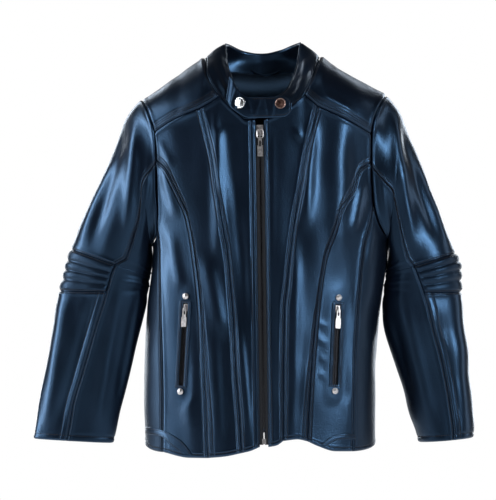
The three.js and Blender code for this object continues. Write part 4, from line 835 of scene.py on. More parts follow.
# ------------------------------------------------------------------ collar
CP = [((-8, zv(120.6), 0), (-8, -82, zv(99.6))), ((gx(246), zv(121), 0), (gx(246), -79, zv(98.5))), ((gx(237), zv(114), 0), (gx(238.5), -70, zv(91))), ((gx(228), zv(106.5), 0), (gx(233.5), -57, zv(82))),
      ((gx(220), zv(98), 0), (gx(230.5), -44, zv(74))), ((gx(212), zv(86), 0), (gx(228.3), -29, zv(64))), ((gx(206.5), zv(72), 0), (gx(226.8), -12, zv(53))), ((-91.2, 14.3, 0), (gx(226), 6, zv(43))),
      ((-75, 10, 1), (gx(232), 29, zv(45))), ((-45, 3, 1), (gx(245), 45, zv(50))), ((0, 0, 1), (0, 51, zv(52))), ((45, 3, 1), (gx(280), 45, zv(49))), ((77, 10, 1), (gx(293), 29, zv(44))), ((92.6, 15.8, 0), (gx(300), 6, zv(42))),
      ((gx(314), zv(72), 0), (gx(297.5), -12, zv(57))), ((gx(310), zv(83), 0), (gx(294.5), -30, zv(72))), ((gx(303.5), zv(96), 0), (gx(289), -47, zv(84))), ((gx(291), zv(107), 0), (gx(283), -64, zv(93))),
      ((gx(278), zv(115), 0), (gx(274), -77, zv(98.5))), ((9, zv(120.8), 0), (9, -82, zv(99.6)))]
neck_pts = [flat(float(a[0]), float(a[1]), bool(a[2])) for a, _ in CP]
NK = [fn([(i, p[c]) for i, p in enumerate(neck_pts)]) for c in range(3)]
TP = [fn([(i, float(b[c])) for i, (_, b) in enumerate(CP)]) for c in range(3)]


def collar_at(q):
    a, b = q[..., 0], q[..., 1]
    p = np.stack([lerp(NK[c](a), TP[c](a), b) for c in range(3)], -1)
    r = np.maximum(1e-6, np.hypot(p[..., 0], p[..., 1]))
    g = 3 * np.sin(math.pi * b) / r
    p[..., 0] *= 1 + g
    p[..., 1] *= 1 + g
    return p


def band(b0, b1):
    return lambda A, B: np.stack(np.broadcast_arrays(19 * A[:, None], lerp(b0, b1, B)[None, :]), -1)


up_axis = lambda P: np.stack([np.zeros(P.shape[:-1]), np.zeros(P.shape[:-1]), P[..., 2] - 40], -1)
def collar_ridges(Q):
    """The long soft folds along both sides of the stand."""
    a, b = Q[..., 0], Q[..., 1]
    left = smooth(3.0, 3.8, a) * (1 - smooth(5.6, 6.6, a))
    right = smooth(13.6, 14.4, a) * (1 - smooth(16.2, 17.0, a))
    return left * (2.0 * np.exp(-(((b - 0.40 - 0.04 * np.sin(3 * a)) / 0.15) ** 2)) + 1.1 * np.exp(-(((b - 0.74) / 0.09) ** 2))) + right * (1.5 * np.exp(-(((b - 0.55 + 0.08 * (a - 15)) / 0.13) ** 2)))


collar_shape = lambda P, Q: waves(P, 9, (14, 60), 0.8, 18) + 0.8 * np.exp(-(((Q[..., 0] - 2.6) / 0.25) ** 2)) + 0.7 * np.exp(-(((Q[..., 0] - 3.5) / 0.22) ** 2)) + collar_ridges(Q)
panel("collar_outer", collar_at, None, None, None, None, (470, 42), TRIM, rows=[(3, 3.0), (2, 3.0)], step=2.6, shape=lambda P, Q: collar_shape(P, Q) - 0.5, seams=(1, 1, 0, 0), grid=band(0.015, 1.0), outward=up_axis, replaces=("collar_outer",))
def cut_pocket(ob, f):
    """Opens a panel behind a pocket frame, so that the zip shows through."""
    bm = bmesh.new()
    bm.from_mesh(ob.data)
    gone = []
    for face in bm.faces:
        r = np.array(face.calc_center_median()) * 1000 - f["o"]
        t, l, n = r @ f["t"], r @ f["l"], r @ f["n"]
        if abs(t) < 6.4 and 0 < l < f["len"] and abs(n) < 12:
            gone.append(face)
    bmesh.ops.delete(bm, geom=gone, context="FACES")
    rim = [e for e in bm.edges if e.is_boundary]
    bmesh.ops.bridge_loops(bm, edges=rim)
    bm.to_mesh(ob.data)
    bm.free()


for tag in ("left", "right"):
    cut_pocket(bpy.data.objects["skin_front_side_" + tag], POCKET[tag])


def plain_sheet(name, surface, Q, hi, lo, mat, outward, body="jacket", wrap=False, weights=None, shape=None, replaces=()):
    P = surface(Q)
    N = grid_normals(P, wrap)
    flip = np.sign((N * (P - outward(P))).sum(-1).mean())
    N = N * flip
    d = shape(P, Q) if shape else 0
    ob = shell_mesh("skin_" + name, P, N, hi + d + np.zeros(P.shape[:2]), lo + d + np.zeros(P.shape[:2]), mat, wrap=wrap, weights=weights)
    if flip < 0:
        ob.data.flip_normals()
    place(ob, body)
    for n in replaces:
        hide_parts(n)
    return ob


A_, B_ = np.linspace(0, 1, 170), np.linspace(0, 1, 16)
low = 0.05 - 0.42 * smooth(5.5, 7.6, 19 * A_) * (1 - smooth(12.0, 13.6, 19 * A_))
plain_sheet("collar_facing", collar_at, np.stack([np.broadcast_to(19 * A_[:, None], (170, 16)), lerp(low[:, None], 0.985, B_[None])], -1), -2.9, -5.2, TRIM, up_axis, shape=lambda P, Q: 1.1 * smooth(0.7, 1.0, Q[..., 1]) + waves(P, 9, (14, 60), 0.5, 18), replaces=("collar_facing",))

# ------------------------------------------------------------------ sleeves
SLEEVE_FOLDS = {"left": [], "right": []}


def sleeve_shape(tag):
    def f(P, Q):
        front = smooth(-4, 18, -P[..., 1])
        k = Q[..., 0]
        w = waves(P, 21 if tag == "left" else 22, (36, 120), 1.5, 26, (1, 1, 0.45))
        edge = smooth(0, 0.8, k) * (0.35 + 0.65 * (1 - smooth(16.5, 18, k)))
        crease = 0
        for kc, h, wd in ((7.3, 1.6, 0.16), (8.9, -1.2, 0.3), (9.9, 1.2, 0.2), (11.2, -1.0, 0.25)):
            crease = crease + h * np.exp(-(((k - kc - 0.35 * np.sin(Q[..., 1] * 2)) / wd) ** 2)) * smooth(1.75, 2.4, Q[..., 1]) * (1 - smooth(4.0, 4.6, Q[..., 1]))
        row = 68 - P[..., 2] / 1.6
        near = 1.0 * smooth(245, 266, row) * (1 - smooth(300, 316, row)) * ((1 - np.cos(Q[..., 1])) / 2) ** 3
        return (w + front * ridges(P, SLEEVE_FOLDS[tag]) + crease) * edge + near
    return f


SLEEVE_FOLDS["left"] += [(138, 112, 128, 236, 6, 3.4), (124, 132, 96, 226, 6, -3.0), (112, 160, 86, 236, 6, 2.8), (150, 170, 140, 246, 4, 2.0), (66, 300, 48, 420, 8, 3.0), (92, 300, 60, 420, 5, -2.4), (118, 300, 96, 420, 6, 2.6), (136, 300, 118, 400, 4, -1.6)]
SLEEVE_FOLDS["right"] += [(392, 116, 410, 232, 6, 3.2), (404, 134, 432, 226, 5, -2.8), (418, 166, 444, 236, 5, 2.4), (378, 176, 392, 250, 4, 2.2), (454, 300, 464, 420, 7, 1.8), (440, 306, 456, 420, 5, -1.4), (404, 306, 430, 420, 6, 2.6), (392, 316, 412, 400, 4, -1.6)]


def pleats(P, Q, D):
    k = (Q[..., 0] - ELBOW) / (ELBOW_END - ELBOW)
    saw = np.abs(np.sin(math.pi * 4 * k + 0.25 * np.sin(3 * Q[..., 1])))
    fade = smooth(0, 9, D[0]) * smooth(0, 9, D[1])
    return (3.6 * saw**0.8 - 1.6) * fade * smooth(0, 0.05, k) * smooth(0, 0.05, 1 - k)


for tag, side in (("left", L), ("right", R)):
    sg = side["sign"]
    surf = lambda Q, side=side: sleeve(side, Q)

    def inside(P, sg=sg):
        t = np.clip((float(gz(100)) - P[..., 2]) / 560, 0, 1)
        return np.stack([lerp(sg * 185, sg * 318, t), np.zeros(t.shape), P[..., 2] - np.where(t < 0.3, 25, 0)], -1)

    def sgrid(k0, k1, outer, side=side):
        def g(A, B):
            k = lerp(k0, k1, B)[None, :] + 0 * A[:, None]
            a0, a1 = (side["back"](k) - 2 * math.pi, side["front"](k)) if outer else (side["front"](k), side["back"](k))
            return np.stack([k, lerp(a0, a1, A[:, None])], -1)
        return g

    w_sh = lambda Q: smooth(0.0, 1.0, Q[..., 0] / (3.2 + 4.7 * (1 - np.cos(Q[..., 1])) / 2))
    w_el = lambda Q: smooth(ELBOW, ELBOW_END + 0.5, Q[..., 0])
    c = lambda k, side=side: Vector(((side["outer"][k][0] + side["inner"][k][0]) / 2 * MM, 0, (side["outer"][k][1] + side["inner"][k][1]) / 2 * MM))
    sh = ("jacket", "sleeve_" + tag, c(0), c(4))
    el = ("sleeve_" + tag, "forearm_" + tag, c(8), c(11))
    sz = 200 if tag == "left" else 190
    shp = sleeve_shape(tag)
    panel(f"sleeve_{tag}_upper", surf, None, None, None, None, (sz, 265), LEATHER, rows=[(1, 2.2), (1, 5.6), (3, 2.4)], shape=shp, grid=sgrid(0, ELBOW, True), outward=inside, weight=w_sh, body=sh, replaces=(f"sleeve_{tag}_upper",), step=3.6)
    panel(f"sleeve_{tag}_upper_under", surf, None, None, None, None, (130, 180), LEATHER_B, rows=[(0, 2.2)], shape=shp, grid=sgrid(0, ELBOW, False), outward=inside, weight=w_sh, body=sh, replaces=(f"sleeve_{tag}_upper_under",), step=4.0, seams=(1, 1, 1, 0))
    panel(f"elbow_{tag}_pleats", surf, None, None, None, None, (165, 70), LEATHER_B, rows=[(2, 2.2), (3, 2.2)], shape=shp, grid=sgrid(ELBOW, ELBOW_END, True), outward=inside, weight=w_el, body=el, replaces=(f"elbow_{tag}_pleats",), step=2.0, extra=pleats)
    panel(f"forearm_{tag}_outer", surf, None, None, None, None, (155, 240), LEATHER, rows=[(1, 2.2), (1, 12.0), (2, 2.4), (3, 9.0)], shape=shp, grid=sgrid(ELBOW_END, CUFF, True), outward=inside, weight=w_el, body=el, replaces=(f"forearm_{tag}_outer",), step=3.6, seams=(1, 1, 1, 0.5))
    panel(f"forearm_{tag}_under", surf, None, None, None, None, (150, 300), LEATHER_B, rows=[(0, 2.2), (3, 9.0)], shape=shp, grid=sgrid(ELBOW, CUFF, False), outward=inside, weight=w_el, body=el, replaces=(f"forearm_{tag}_under",), step=3.6, seams=(1, 1, 0, 0.5))
    th = np.linspace(0, 2 * math.pi, 48, endpoint=False)
    for part, k0, k1, wf, body in (("upper", 0.9, ELBOW - 0.05, w_sh, sh), ("lower", ELBOW, CUFF - 0.45, w_el, el)):
        kk = np.linspace(k0, k1, 34)
        Q = np.stack(np.broadcast_arrays(kk[None, :], th[:, None]), -1)
        plain_sheet(f"lining_{tag}_{part}", surf, Q, -6.2, -6.8, LINING, inside, body=body, wrap=True, weights=np.asarray(wf(Q)), shape=lambda P, Q: waves(P, 31, (25, 80), 1.0, 14), replaces=(f"lining_{tag}_{part}",))

# ------------------------------------------------------------------ small shape helpers
def lathe(name, profile, centre, axis, mat, n=48, lobes=None):
    axis = unit(axis)
    a = unit(np.cross(axis, (0.3, 1, 0.2)))
    b = np.cross(axis, a)
    V, faces = [], []
    for r, h in profile:
        for k in range(n):
            w = 2 * math.pi * k / n
            V.append(np.asarray(centre) + axis * h + (a * math.cos(w) + b * math.sin(w)) * max(r, 0.01))
    for i in range(len(profile) - 1):
        for k in range(n):
            k2 = (k + 1) % n
            faces.append((i * n + k, i * n + k2, (i + 1) * n + k2, (i + 1) * n + k))
    faces.append(tuple(range(n))[::-1])
    faces.append(tuple((len(profile) - 1) * n + k for k in range(n)))
    return new_mesh(name, V, faces, mat)


def strip(name, f, t0, t1, l0, l1, n_fn, thick, mat, step=1.6, body="jacket", replaces=()):
    """A flat strip in a zip's frame; n_fn(t, l) gives its height."""
    t = np.linspace(t0, t1, max(3, int(abs(t1 - t0) / 0.8)))
    l = np.linspace(l0, l1, max(3, int(abs(l1 - l0) / step)))
    TT, LL = np.meshgrid(t, l, indexing="ij")
    h = n_fn(TT, LL)
    P = local(f, TT, 0 * TT, LL)
    N = np.broadcast_to(f["n"], P.shape)
    ob = shell_mesh(name, P, N, h + thick / 2, h - thick / 2, mat)
    if np.dot(np.cross(f["t"] * np.sign(t1 - t0), f["l"] * np.sign(l1 - l0)), f["n"]) < 0:
        ob.data.flip_normals()
    place(ob, body)
    for n_ in replaces:
        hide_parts(n_)
    return ob


def block(V, F, c, sz, axes, taper=0.8):
    """Adds a small chamfered block to the vertex and face lists."""
    base = len(V)
    for k, s_ in ((-1, 1), (1, 1)):
        for i, j in ((-1, -1), (1, -1), (1, 1), (-1, 1)):
            q = taper if k > 0 else 1
            V.append(c + axes[0] * i * sz[0] * q + axes[2] * j * sz[2] * q + axes[1] * k * sz[1])
    F += [tuple(base + i for i in (3, 2, 1, 0)), tuple(base + i for i in (4, 5, 6, 7))]
    for i in range(4):
        j = (i + 1) % 4
        F.append((base + i, base + j, base + 4 + j, base + 4 + i))


def teeth(name, f, side, l0, l1, mid, mat, pitch=2.6, inner=0.45, outer=3.15, high=1.15, body="jacket", replaces=()):
    V, F_ = [], []
    l = l0 + (0 if side < 0 else pitch / 2)
    while l < l1:
        for a, b, hw, hl in ((inner, outer, high * 0.8, pitch * 0.19), (inner, inner + 0.95, high, pitch * 0.26)):
            block(V, F_, local(f, side * (a + b) / 2, mid, l), ((b - a) / 2, hw, hl), (f["t"], f["n"], f["l"]))
        l += pitch
    ob = new_mesh(name, V, F_, mat, shade=False)
    bm = bmesh.new()
    bm.from_mesh(ob.data)
    bmesh.ops.recalc_face_normals(bm, faces=bm.faces)
    bm.to_mesh(ob.data)
    bm.free()
    place(ob, body)
    for n_ in replaces:
        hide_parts(n_)
    return ob


def tube_along(name, pts, r, mat, n=14, body="jacket", replaces=(), flatten=1.0):
    pts = np.asarray(pts, float)
    V, faces = [], []
    for i, p in enumerate(pts):
        d = unit(pts[min(len(pts) - 1, i + 1)] - pts[max(0, i - 1)])
        a = unit(np.array([0, 0, 1.0]) - d * d[2])
        b = np.cross(d, a)
        for k in range(n):
            w = 2 * math.pi * k / n
            V.append(p + a * r * math.cos(w) + b * r * flatten * math.sin(w))
    for i in range(len(pts) - 1):
        for k in range(n):
            k2 = (k + 1) % n
            faces.append((i * n + k, (i + 1) * n + k, (i + 1) * n + k2, i * n + k2))
    faces += [tuple(range(n)), tuple((len(pts) - 1) * n + k for k in range(n))[::-1]]
    ob = new_mesh(name, V, faces, mat)
    bm = bmesh.new()
    bm.from_mesh(ob.data)
    bmesh.ops.recalc_face_normals(bm, faces=bm.faces)
    bm.to_mesh(ob.data)
    bm.free()
    place(ob, body)
    for n_ in replaces:
        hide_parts(n_)
    return ob


# ------------------------------------------------------------------ front zip
TOOTH = metal("metal_teeth", (0.022, 0.021, 0.026), (0.075, 0.072, 0.082), rough=(0.34, 0.55))
for tag, sd in (("left", -1), ("right", 1)):
    strip("skin_zip_tape_" + tag, ZIP, sd * 1.0, sd * 15, 0, ZIP_LEN - 2, lambda t, l: MID + 0.35 * np.exp(-(((np.abs(t) - 4.0) / 0.8) ** 2)) - 0.15, 0.8, TAPE, replaces=("zip_tape_" + tag,))
    teeth("skin_teeth_" + tag, ZIP, sd, 1, ZIP_LEN - 12, MID, TOOTH, replaces=("teeth_" + tag,))


def bevelled(node, mat, width=0.35, seg=3):
    ob = NODES[node]
    ob.data.materials.clear()
    ob.data.materials.append(mat)
    for p in ob.data.polygons:
        p.material_index = 0
    m = ob.modifiers.new("round", "BEVEL")
    m.width = width * MM
    m.segments = seg
    m.limit_method = "ANGLE"
    m.angle_limit = math.radians(28)
    m.harden_normals = False
    return ob


for n_ in ("zip_slider", "zip_tab", "zip_box", "pocket_slider_left", "pocket_slider_right", "pocket_tab_left", "pocket_tab_right"):
    bevelled(n_, NICKEL if n_ != "zip_tab" else NICKEL)
bevelled("zip_link", NICKEL, 0.1, 1)
for p in NODES["zip_link"].data.polygons:
    p.use_smooth = True
bevelled("snap_stud_right", NICKEL, 0.2, 2)

# ------------------------------------------------------------------ pockets
for tag, sgn in (("left", -1), ("right", 1)):
    f, ln = POCKET[tag], POCKET[tag]["len"]
    # The welt: a padded frame of leather with turned edges round the opening.
    outer_t, inner_t, l0, l1, i0, i1 = 10.4, 4.4, -2.5, ln + 2.5, 1.5, ln - 1.5
    nu, prof = 0, []
    ring_pts = []
    for sgn_t, sgn_l in ((1, -1), (1, 1), (-1, 1), (-1, -1)):
        ring_pts.append((sgn_t, sgn_l))
    # Runs round the frame: rounded rectangle by arc length, with the same parameter inside and outside.
    def rr(ht, la, lb, r, n=220):
        per, out = [], []
        cs = [(ht - r, lb - r, 0), (-ht + r, lb - r, 90), (-ht + r, la + r, 180), (ht - r, la + r, 270)]
        pts = []
        for cx, cl, a0 in cs:
            for k in range(7):
                w = math.radians(a0 + 15 * k)
                pts.append((cx + r * math.cos(w), cl + r * math.sin(w)))
        pts = np.array(pts + pts[:1])
        s_ = np.concatenate([[0], np.cumsum(np.linalg.norm(np.diff(pts, axis=0), axis=1))])
        return pts, s_
    po, so = rr(outer_t, l0, l1, 2.2)
    pi, si = rr(inner_t, i0, i1, 1.0)
    n_r = 260
    key = np.linspace(0, 28, n_r, endpoint=False)
    o_ = np.stack([np.interp(key, np.arange(29), po[:, c]) for c in range(2)], -1)
    i_ = np.stack([np.interp(key, np.arange(29), pi[:, c]) for c in range(2)], -1)
    key2 = []
    seg = np.linalg.norm(np.diff(po, axis=0), axis=1)
    for a in range(28):
        m_ = max(1, int(seg[a] / 1.6))
        key2 += list(a + np.arange(m_) / m_)
    key2 = np.array(key2)
    o_ = np.stack([np.interp(key2, np.arange(29), po[:, c]) for c in range(2)], -1)
    i_ = np.stack([np.interp(key2, np.arange(29), pi[:, c]) for c in range(2)], -1)
    b = np.linspace(0, 1, 13)
    XY = lerp(o_[:, None], i_[:, None], b[None, :, None])
    h = 2.35 - 0.9 * np.exp(-((b / 0.10) ** 2)) - 0.9 * np.exp(-(((1 - b) / 0.12) ** 2)) - 0.3 * np.exp(-(((b - 0.33) / 0.10) ** 2)) - 0.3 * np.exp(-(((b - 0.72) / 0.10) ** 2))
    H = np.broadcast_to(h, XY.shape[:2]) + 0.25 * np.sin(XY[..., 1] / 7.0)
    P = local(f, XY[..., 0], 0 * H, XY[..., 1])
    N = np.broadcast_to(f["n"], P.shape)
    w_ob = shell_mesh("skin_pocket_welt_" + tag, P, N, H, H * 0 + 0.5, TRIM, wrap=True)
    bm = bmesh.new()
    bm.from_mesh(w_ob.data)
    bmesh.ops.recalc_face_normals(bm, faces=bm.faces)
    bm.to_mesh(w_ob.data)
    bm.free()
    place(w_ob, "jacket")
    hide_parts("pocket_welt_" + tag)
    kP = "welt_" + tag
    for sh_ in (0.33, 0.72):
        j_ = int(round(sh_ * 12))
        run_ = (P + N * H[..., None])[:, j_]
        run_ = np.concatenate([run_, run_[:1]])
        s_ = np.concatenate([[0], np.cumsum(np.linalg.norm(np.diff(run_, axis=0), axis=1))])
        PANELS[kP] = dict(body="jacket", W=None)
        stitch_run(kP, run_, np.broadcast_to(f["n"], run_.shape).copy(), np.zeros(len(run_)), s_, 1, s_[-1] - 1, 3.4, 2.4, 0.08)
    for sd in (-1, 1):
        strip(f"skin_pocket_tape_{tag}_{'a' if sd < 0 else 'b'}", f, sd * 0.5, sd * 9, -5, ln + 5, lambda t, l: -3.4 + 0.3 * np.exp(-(((np.abs(t) - 3.4) / 0.7) ** 2)), 0.8, TAPE, replaces=(("pocket_zip_" + tag,) if sd < 0 else ()))
        teeth(f"skin_pocket_teeth_{tag}_{'a' if sd < 0 else 'b'}", f, sd, 2, ln - 1, -3.4, TOOTH, pitch=2.2, inner=0.4, outer=2.7, high=1.0)
    # The pocket bag: a soft flat bag behind the front.
    for part, t0, t1, la, lb in (("neck", -14, 14, -6, ln + 8), ("pouch", *((10, 27) if sgn < 0 else (-27, -10)), 20, ln + 26)):
        strip(f"skin_pocket_bag_{tag}_{part}", f, t0, t1, la, lb, lambda t, l: -6.9 + 0.25 * np.sin(t / 6 + l / 17) + 0.2 * np.sin(l / 9.0), 0.7, LINING, step=3, replaces=(("pocket_bag_" + tag,) if part == "neck" else ()))
    # Four-sided pyramid studs on a round skirt.
    for which, l_ in (("top", -9.6), ("bottom", ln + 8.4)):
        V, F_ = [], []
        prof = [(5.0, 2.2, 0), (5.0, 3.2, 0), (4.6, 3.7, 0.15), (4.3, 3.8, 0.85), (3.0, 4.9, 1), (1.2, 5.9, 1), (0.5, 6.1, 1)]
        n_s = 48
        for r_, h_, sq in prof:
            for k in range(n_s):
                w = 2 * math.pi * k / n_s
                sqr = r_ * 0.92 / max(abs(math.cos(w)), abs(math.sin(w))) if sq else r_
                q = lerp(r_, min(sqr, r_ * 1.25), sq)
                V.append(local(f, q * math.cos(w + 0.78), h_, l_ + q * math.sin(w + 0.78)))
        for i in range(len(prof) - 1):
            for k in range(n_s):
                F_.append((i * n_s + k, i * n_s + (k + 1) % n_s, (i + 1) * n_s + (k + 1) % n_s, (i + 1) * n_s + k))
        F_.append(tuple(range(n_s)))
        F_.append(tuple((len(prof) - 1) * n_s + k for k in range(n_s)))
        st = new_mesh(f"skin_pocket_stud_{tag}_{which}", V, F_, SILVER if tag == "x" else NICKEL, shade=False)
        bm = bmesh.new()
        bm.from_mesh(st.data)
        bmesh.ops.recalc_face_normals(bm, faces=bm.faces)
        bm.to_mesh(st.data)
        bm.free()
        place(st, "jacket")
        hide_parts(f"pocket_stud_{tag}_{which}")

# ------------------------------------------------------------------ collar strap and snaps
strap_y = lambda x, z: -98.4 + 0.2 * np.maximum(0, z + 70) + x * x / 2000 + np.where(x < -40, (x + 40) ** 2 / 150, 0)
SN = unit((0, -1, 0.26))
xs_ = np.concatenate([np.linspace(float(gx(226)), 30, 120), 30 + 16.9 * np.sin(np.linspace(0, math.pi / 2, 24))[1:]])
sv = np.concatenate([[-1, -0.985, -0.96, -0.92, -0.86, -0.8], np.linspace(-0.72, 0.72, 17), [0.8, 0.86, 0.92, 0.96, 0.985, 1]])
hw_ = np.where(xs_ < 32, 16.4, 16.4 * np.sqrt(np.maximum(0.004, 1 - np.clip((xs_ - 32) / 15.0, 0, 1) ** 2)))
XX, SS = np.meshgrid(xs_, sv, indexing="ij")
ZC = zv(109.5) + np.where(XX > 0, 2.2 * XX / 48, 0)
top_z = fn([(float(gx(221)), zv(76)), (float(gx(226)), zv(78)), (float(gx(231)), zv(84)), (float(gx(237)), zv(91)), (float(gx(243)), zv(96.6)), (float(gx(249)), zv(99.2)), (0, zv(99.2)), (60, zv(99.2))])
low_z = fn([(float(gx(221)), zv(99)), (float(gx(228)), zv(106.4)), (float(gx(237)), zv(114)), (float(gx(246)), zv(118.8)), (float(gx(252)), zv(119.8)), (0, zv(119.8)), (60, zv(119.8))])
left = 1 - smooth(-34, -12, XX)
hi_z, lo_z = ZC + hw_[:, None], ZC - hw_[:, None]
hi_z, lo_z = lerp(hi_z, top_z(XX), left), lerp(lo_z, low_z(XX), left)
ZZ = lerp(lo_z, hi_z, (SS + 1) / 2)
hw2 = (hi_z - lo_z) / 2
XX = XX + left * (SS * 0.5 + 0.5) * 6.0 * (1 - smooth(-60, -30, XX))
cg = collar_at(np.stack(np.meshgrid(np.linspace(0, 7, 240), np.linspace(0, 1, 60), indexing="ij"), -1)).reshape(-1, 3)
YY = strap_y(XX, ZZ)
dist = (XX.ravel()[:, None] - cg[None, :, 0]) ** 2 + (ZZ.ravel()[:, None] - cg[None, :, 2]) ** 2
near_ = np.argsort(dist, 1)[:, :4]
yc = cg[near_, 1].mean(1).reshape(XX.shape)
on_band = 1 - smooth(-52, -30, XX)
YY = lerp(YY, np.minimum(YY + 3.0, yc - 1.3), on_band)
P = np.stack([XX, YY, ZZ], -1)
N = np.broadcast_to(SN, P.shape)
edge_s = (1 - np.abs(SS)) * hw2
edge_x = 47 - XX
e_ = np.minimum(edge_s, np.maximum(edge_x, 0) + 0.3)
puff = 0.5 * smooth(0, 3, e_) - 0.3 * np.exp(-(((e_ - 3.2) / 0.9) ** 2)) - 0.5 * np.exp(-((e_ / 0.5) ** 2))
wr = 0
for xc, hgt, wd, ln_, sl in ((-45, 0.8, 2.2, 1, 0.35), (-40, -0.7, 1.8, 1, 0.3), (-52, -0.6, 2.4, 1, 0.2), (-20, 0.45, 3.0, 1, -0.25), (-8, 0.4, 3.6, 1, 0.3), (8, -0.35, 3.0, 1, -0.2), (17, 0.4, 3.0, 1, 0.15)):
    wr = wr + hgt * np.exp(-(((XX - xc - sl * SS * 16) / wd) ** 2)) * smooth(0, 5, e_)
wr = wr - 1.6 * (1 - smooth(0, 6, XX - XX.min(0, keepdims=True)))
w_strap = smooth(-33, -19, XX)
st_ob = shell_mesh("skin_collar_tab", P, N, 0.8 + puff + wr, -0.8 + 0 * puff, TRIM, weights=w_strap)
bm = bmesh.new()
bm.from_mesh(st_ob.data)
bmesh.ops.recalc_face_normals(bm, faces=bm.faces)
bm.to_mesh(st_ob.data)
bm.free()
sb_ = ("jacket", "collar_strap", Vector((-0.033, -0.098, -0.066)), Vector((-0.019, -0.098, -0.066)))
place(st_ob, sb_)
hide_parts("collar_tab", "collar_tab_base")
# Stitching round the strap.
rim = []
for k in range(len(xs_)):
    if hw_[k] > 3.3 and -16 < xs_[k] < 44.0:
        rim.append((xs_[k], (hw_[k] - 2.9) * 1.0))
up = [(x_, zv(109.5) + (2.2 * x_ / 48 if x_ > 0 else 0) + h_) for x_, h_ in rim]
dn = [(x_, zv(109.5) + (2.2 * x_ / 48 if x_ > 0 else 0) - h_) for x_, h_ in rim][::-1]
rim = np.array(up + dn)
rim3 = np.stack([rim[:, 0], strap_y(rim[:, 0], rim[:, 1]), rim[:, 1]], -1) + SN * 1.15
s_ = np.concatenate([[0], np.cumsum(np.linalg.norm(np.diff(rim3, axis=0), axis=1))])
PANELS["strap"] = dict(body=sb_, W=1)
stitch_run("strap", rim3, np.broadcast_to(SN, rim3.shape).copy(), smooth(-33, -19, rim3[:, 0]), s_, 1, s_[-1] - 1, 3.4, 2.4, 0.1)


def snap_at(x, z):
    return np.array([x, float(strap_y(np.array(x), np.array(z))), z])


cap = lathe("skin_snap_cap_left", [(0.01, 0.9), (8.6, 0.9), (9.2, 1.3), (9.3, 1.9), (8.9, 2.5), (8.1, 2.75), (7.5, 2.6), (7.0, 2.75), (5.6, 3.25), (3.8, 3.6), (1.9, 3.8), (0.4, 3.85)], snap_at(float(gx(240.4)), zv(104.8)), unit((-0.55, -1, 0.12)), SILVER)
place(cap, "jacket")
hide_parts("snap_cap_left")
RIM = metal("metal_copper_rim", (0.28, 0.17, 0.14), (0.56, 0.40, 0.35), rough=(0.22, 0.4))
cap = lathe("skin_snap_cap_right_rim", [(6.4, 1.4), (8.4, 1.4), (8.7, 2.0), (8.5, 2.9), (7.9, 3.3), (7.3, 3.1), (6.9, 2.6), (6.5, 2.2)], snap_at(float(gx(280)), zv(105.6)), SN, RIM)
place(cap, "collar_strap")
cap2 = lathe("skin_snap_cap_right", [(0.01, 1.4), (7.0, 1.4), (7.1, 2.6), (6.0, 2.3), (4.0, 2.5), (2.0, 2.9), (0.4, 3.0)], snap_at(float(gx(280)), zv(105.6)), SN, BRONZE)
place(cap2, "collar_strap")
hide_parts("snap_cap_right")

# ------------------------------------------------------------------ hang loop, body lining
pts = trace([(float(gx(251)), 43.5, zv(69.5)), (float(gx(258)), 40, zv(73)), (float(gx(266)), 39, zv(74.5)), (float(gx(274)), 40, zv(73)), (float(gx(281)), 43.5, zv(69.5))])(np.linspace(0, 1, 50))
tube_along("skin_hang_loop", pts, 1.9, TRIM, flatten=0.55, replaces=("hang_loop",))
for tag, side, X, sgn in (("left", L, "L", -1), ("right", R, "R", 1)):
    armZ = zv(118)
    seam = S["side" + X]
    z0 = float(seam(np.zeros(1))[0, 1])
    outer_ = F(join(arc(side, angle_at(side, armZ), angle_at(side, z0)), seam))
    zt, zb = zv(128), zv(425)
    xi = lambda z, sgn=sgn: zip_x(z) + sgn * 16
    inner_ = F(straight((xi(zt), zt), (xi(zb), zb)))
    ax_ = float(side["armhole"](armZ))
    topf = F(trace([(xi(zt), zt), (sgn * 75, zv(104)), (sgn * 110, zv(98)), (ax_, armZ)]))
    i1, o1 = inner_(np.ones(1))[0], outer_(np.ones(1))[0]
    botf = straight(i1, o1)
    Q = coons(topf, botf, inner_, outer_, np.linspace(0.01, 0.985, 60), np.linspace(0.01, 0.985, 110))
    plain_sheet("lining_front_" + tag, around, Q, -9, -9.7, LINING, spine, shape=lambda P, Q: waves(P, 41, (30, 100), 1.0, 16), replaces=("lining_front_" + tag,))


def back_run(side, X):
    z0 = float(S["side" + X](np.zeros(1))[0, 1])
    a = mapped(back_arm(side, zv(124), z0), lambda q: to_around(q, True))
    bs = BACK_SIDE[X]
    sh_ = (zv(124) - z0) / (zv(124) - HEM_BACK)
    g = lambda t: np.where((np.asarray(t) <= sh_)[..., None], a(np.clip(np.asarray(t) / sh_, 0, 1)), bs(np.clip((np.asarray(t) - sh_) / (1 - sh_), 0, 1)))
    return lambda t: (lambda q: np.stack([np.where(q[..., 0] < 0, q[..., 0] + 2 * math.pi, q[..., 0]), q[..., 1]], -1))(g(t))


lr, rr_ = back_run(R, "R"), back_run(L, "L")
xa, xb = float(R["armhole"](np.array(zv(124)))), float(L["armhole"](np.array(zv(124))))
fix2 = lambda q: (lambda p: np.stack([np.where(p[..., 0] < 0, p[..., 0] + 2 * math.pi, p[..., 0]), p[..., 1]], -1))(to_around(q, True))
tp = mapped(straight((xa, zv(124)), (xb, zv(124))), fix2)
l1_, r1_ = lr(np.ones(1))[0], rr_(np.ones(1))[0]
xl1 = float(around(l1_[None])[0, 0])
xr1 = float(around(np.array([[r1_[0] - 2 * math.pi, r1_[1]]]))[0, 0])
bt = mapped(straight((xl1, l1_[1]), (xr1, l1_[1])), fix2)
Q = coons(tp, bt, lr, rr_, np.linspace(0.01, 0.99, 100), np.linspace(0.004, 0.985, 110))
plain_sheet("lining_back", around, Q, -9, -9.7, LINING, spine, shape=lambda P, Q: waves(P, 42, (40, 140), 1.6, 16), replaces=("lining_back",))

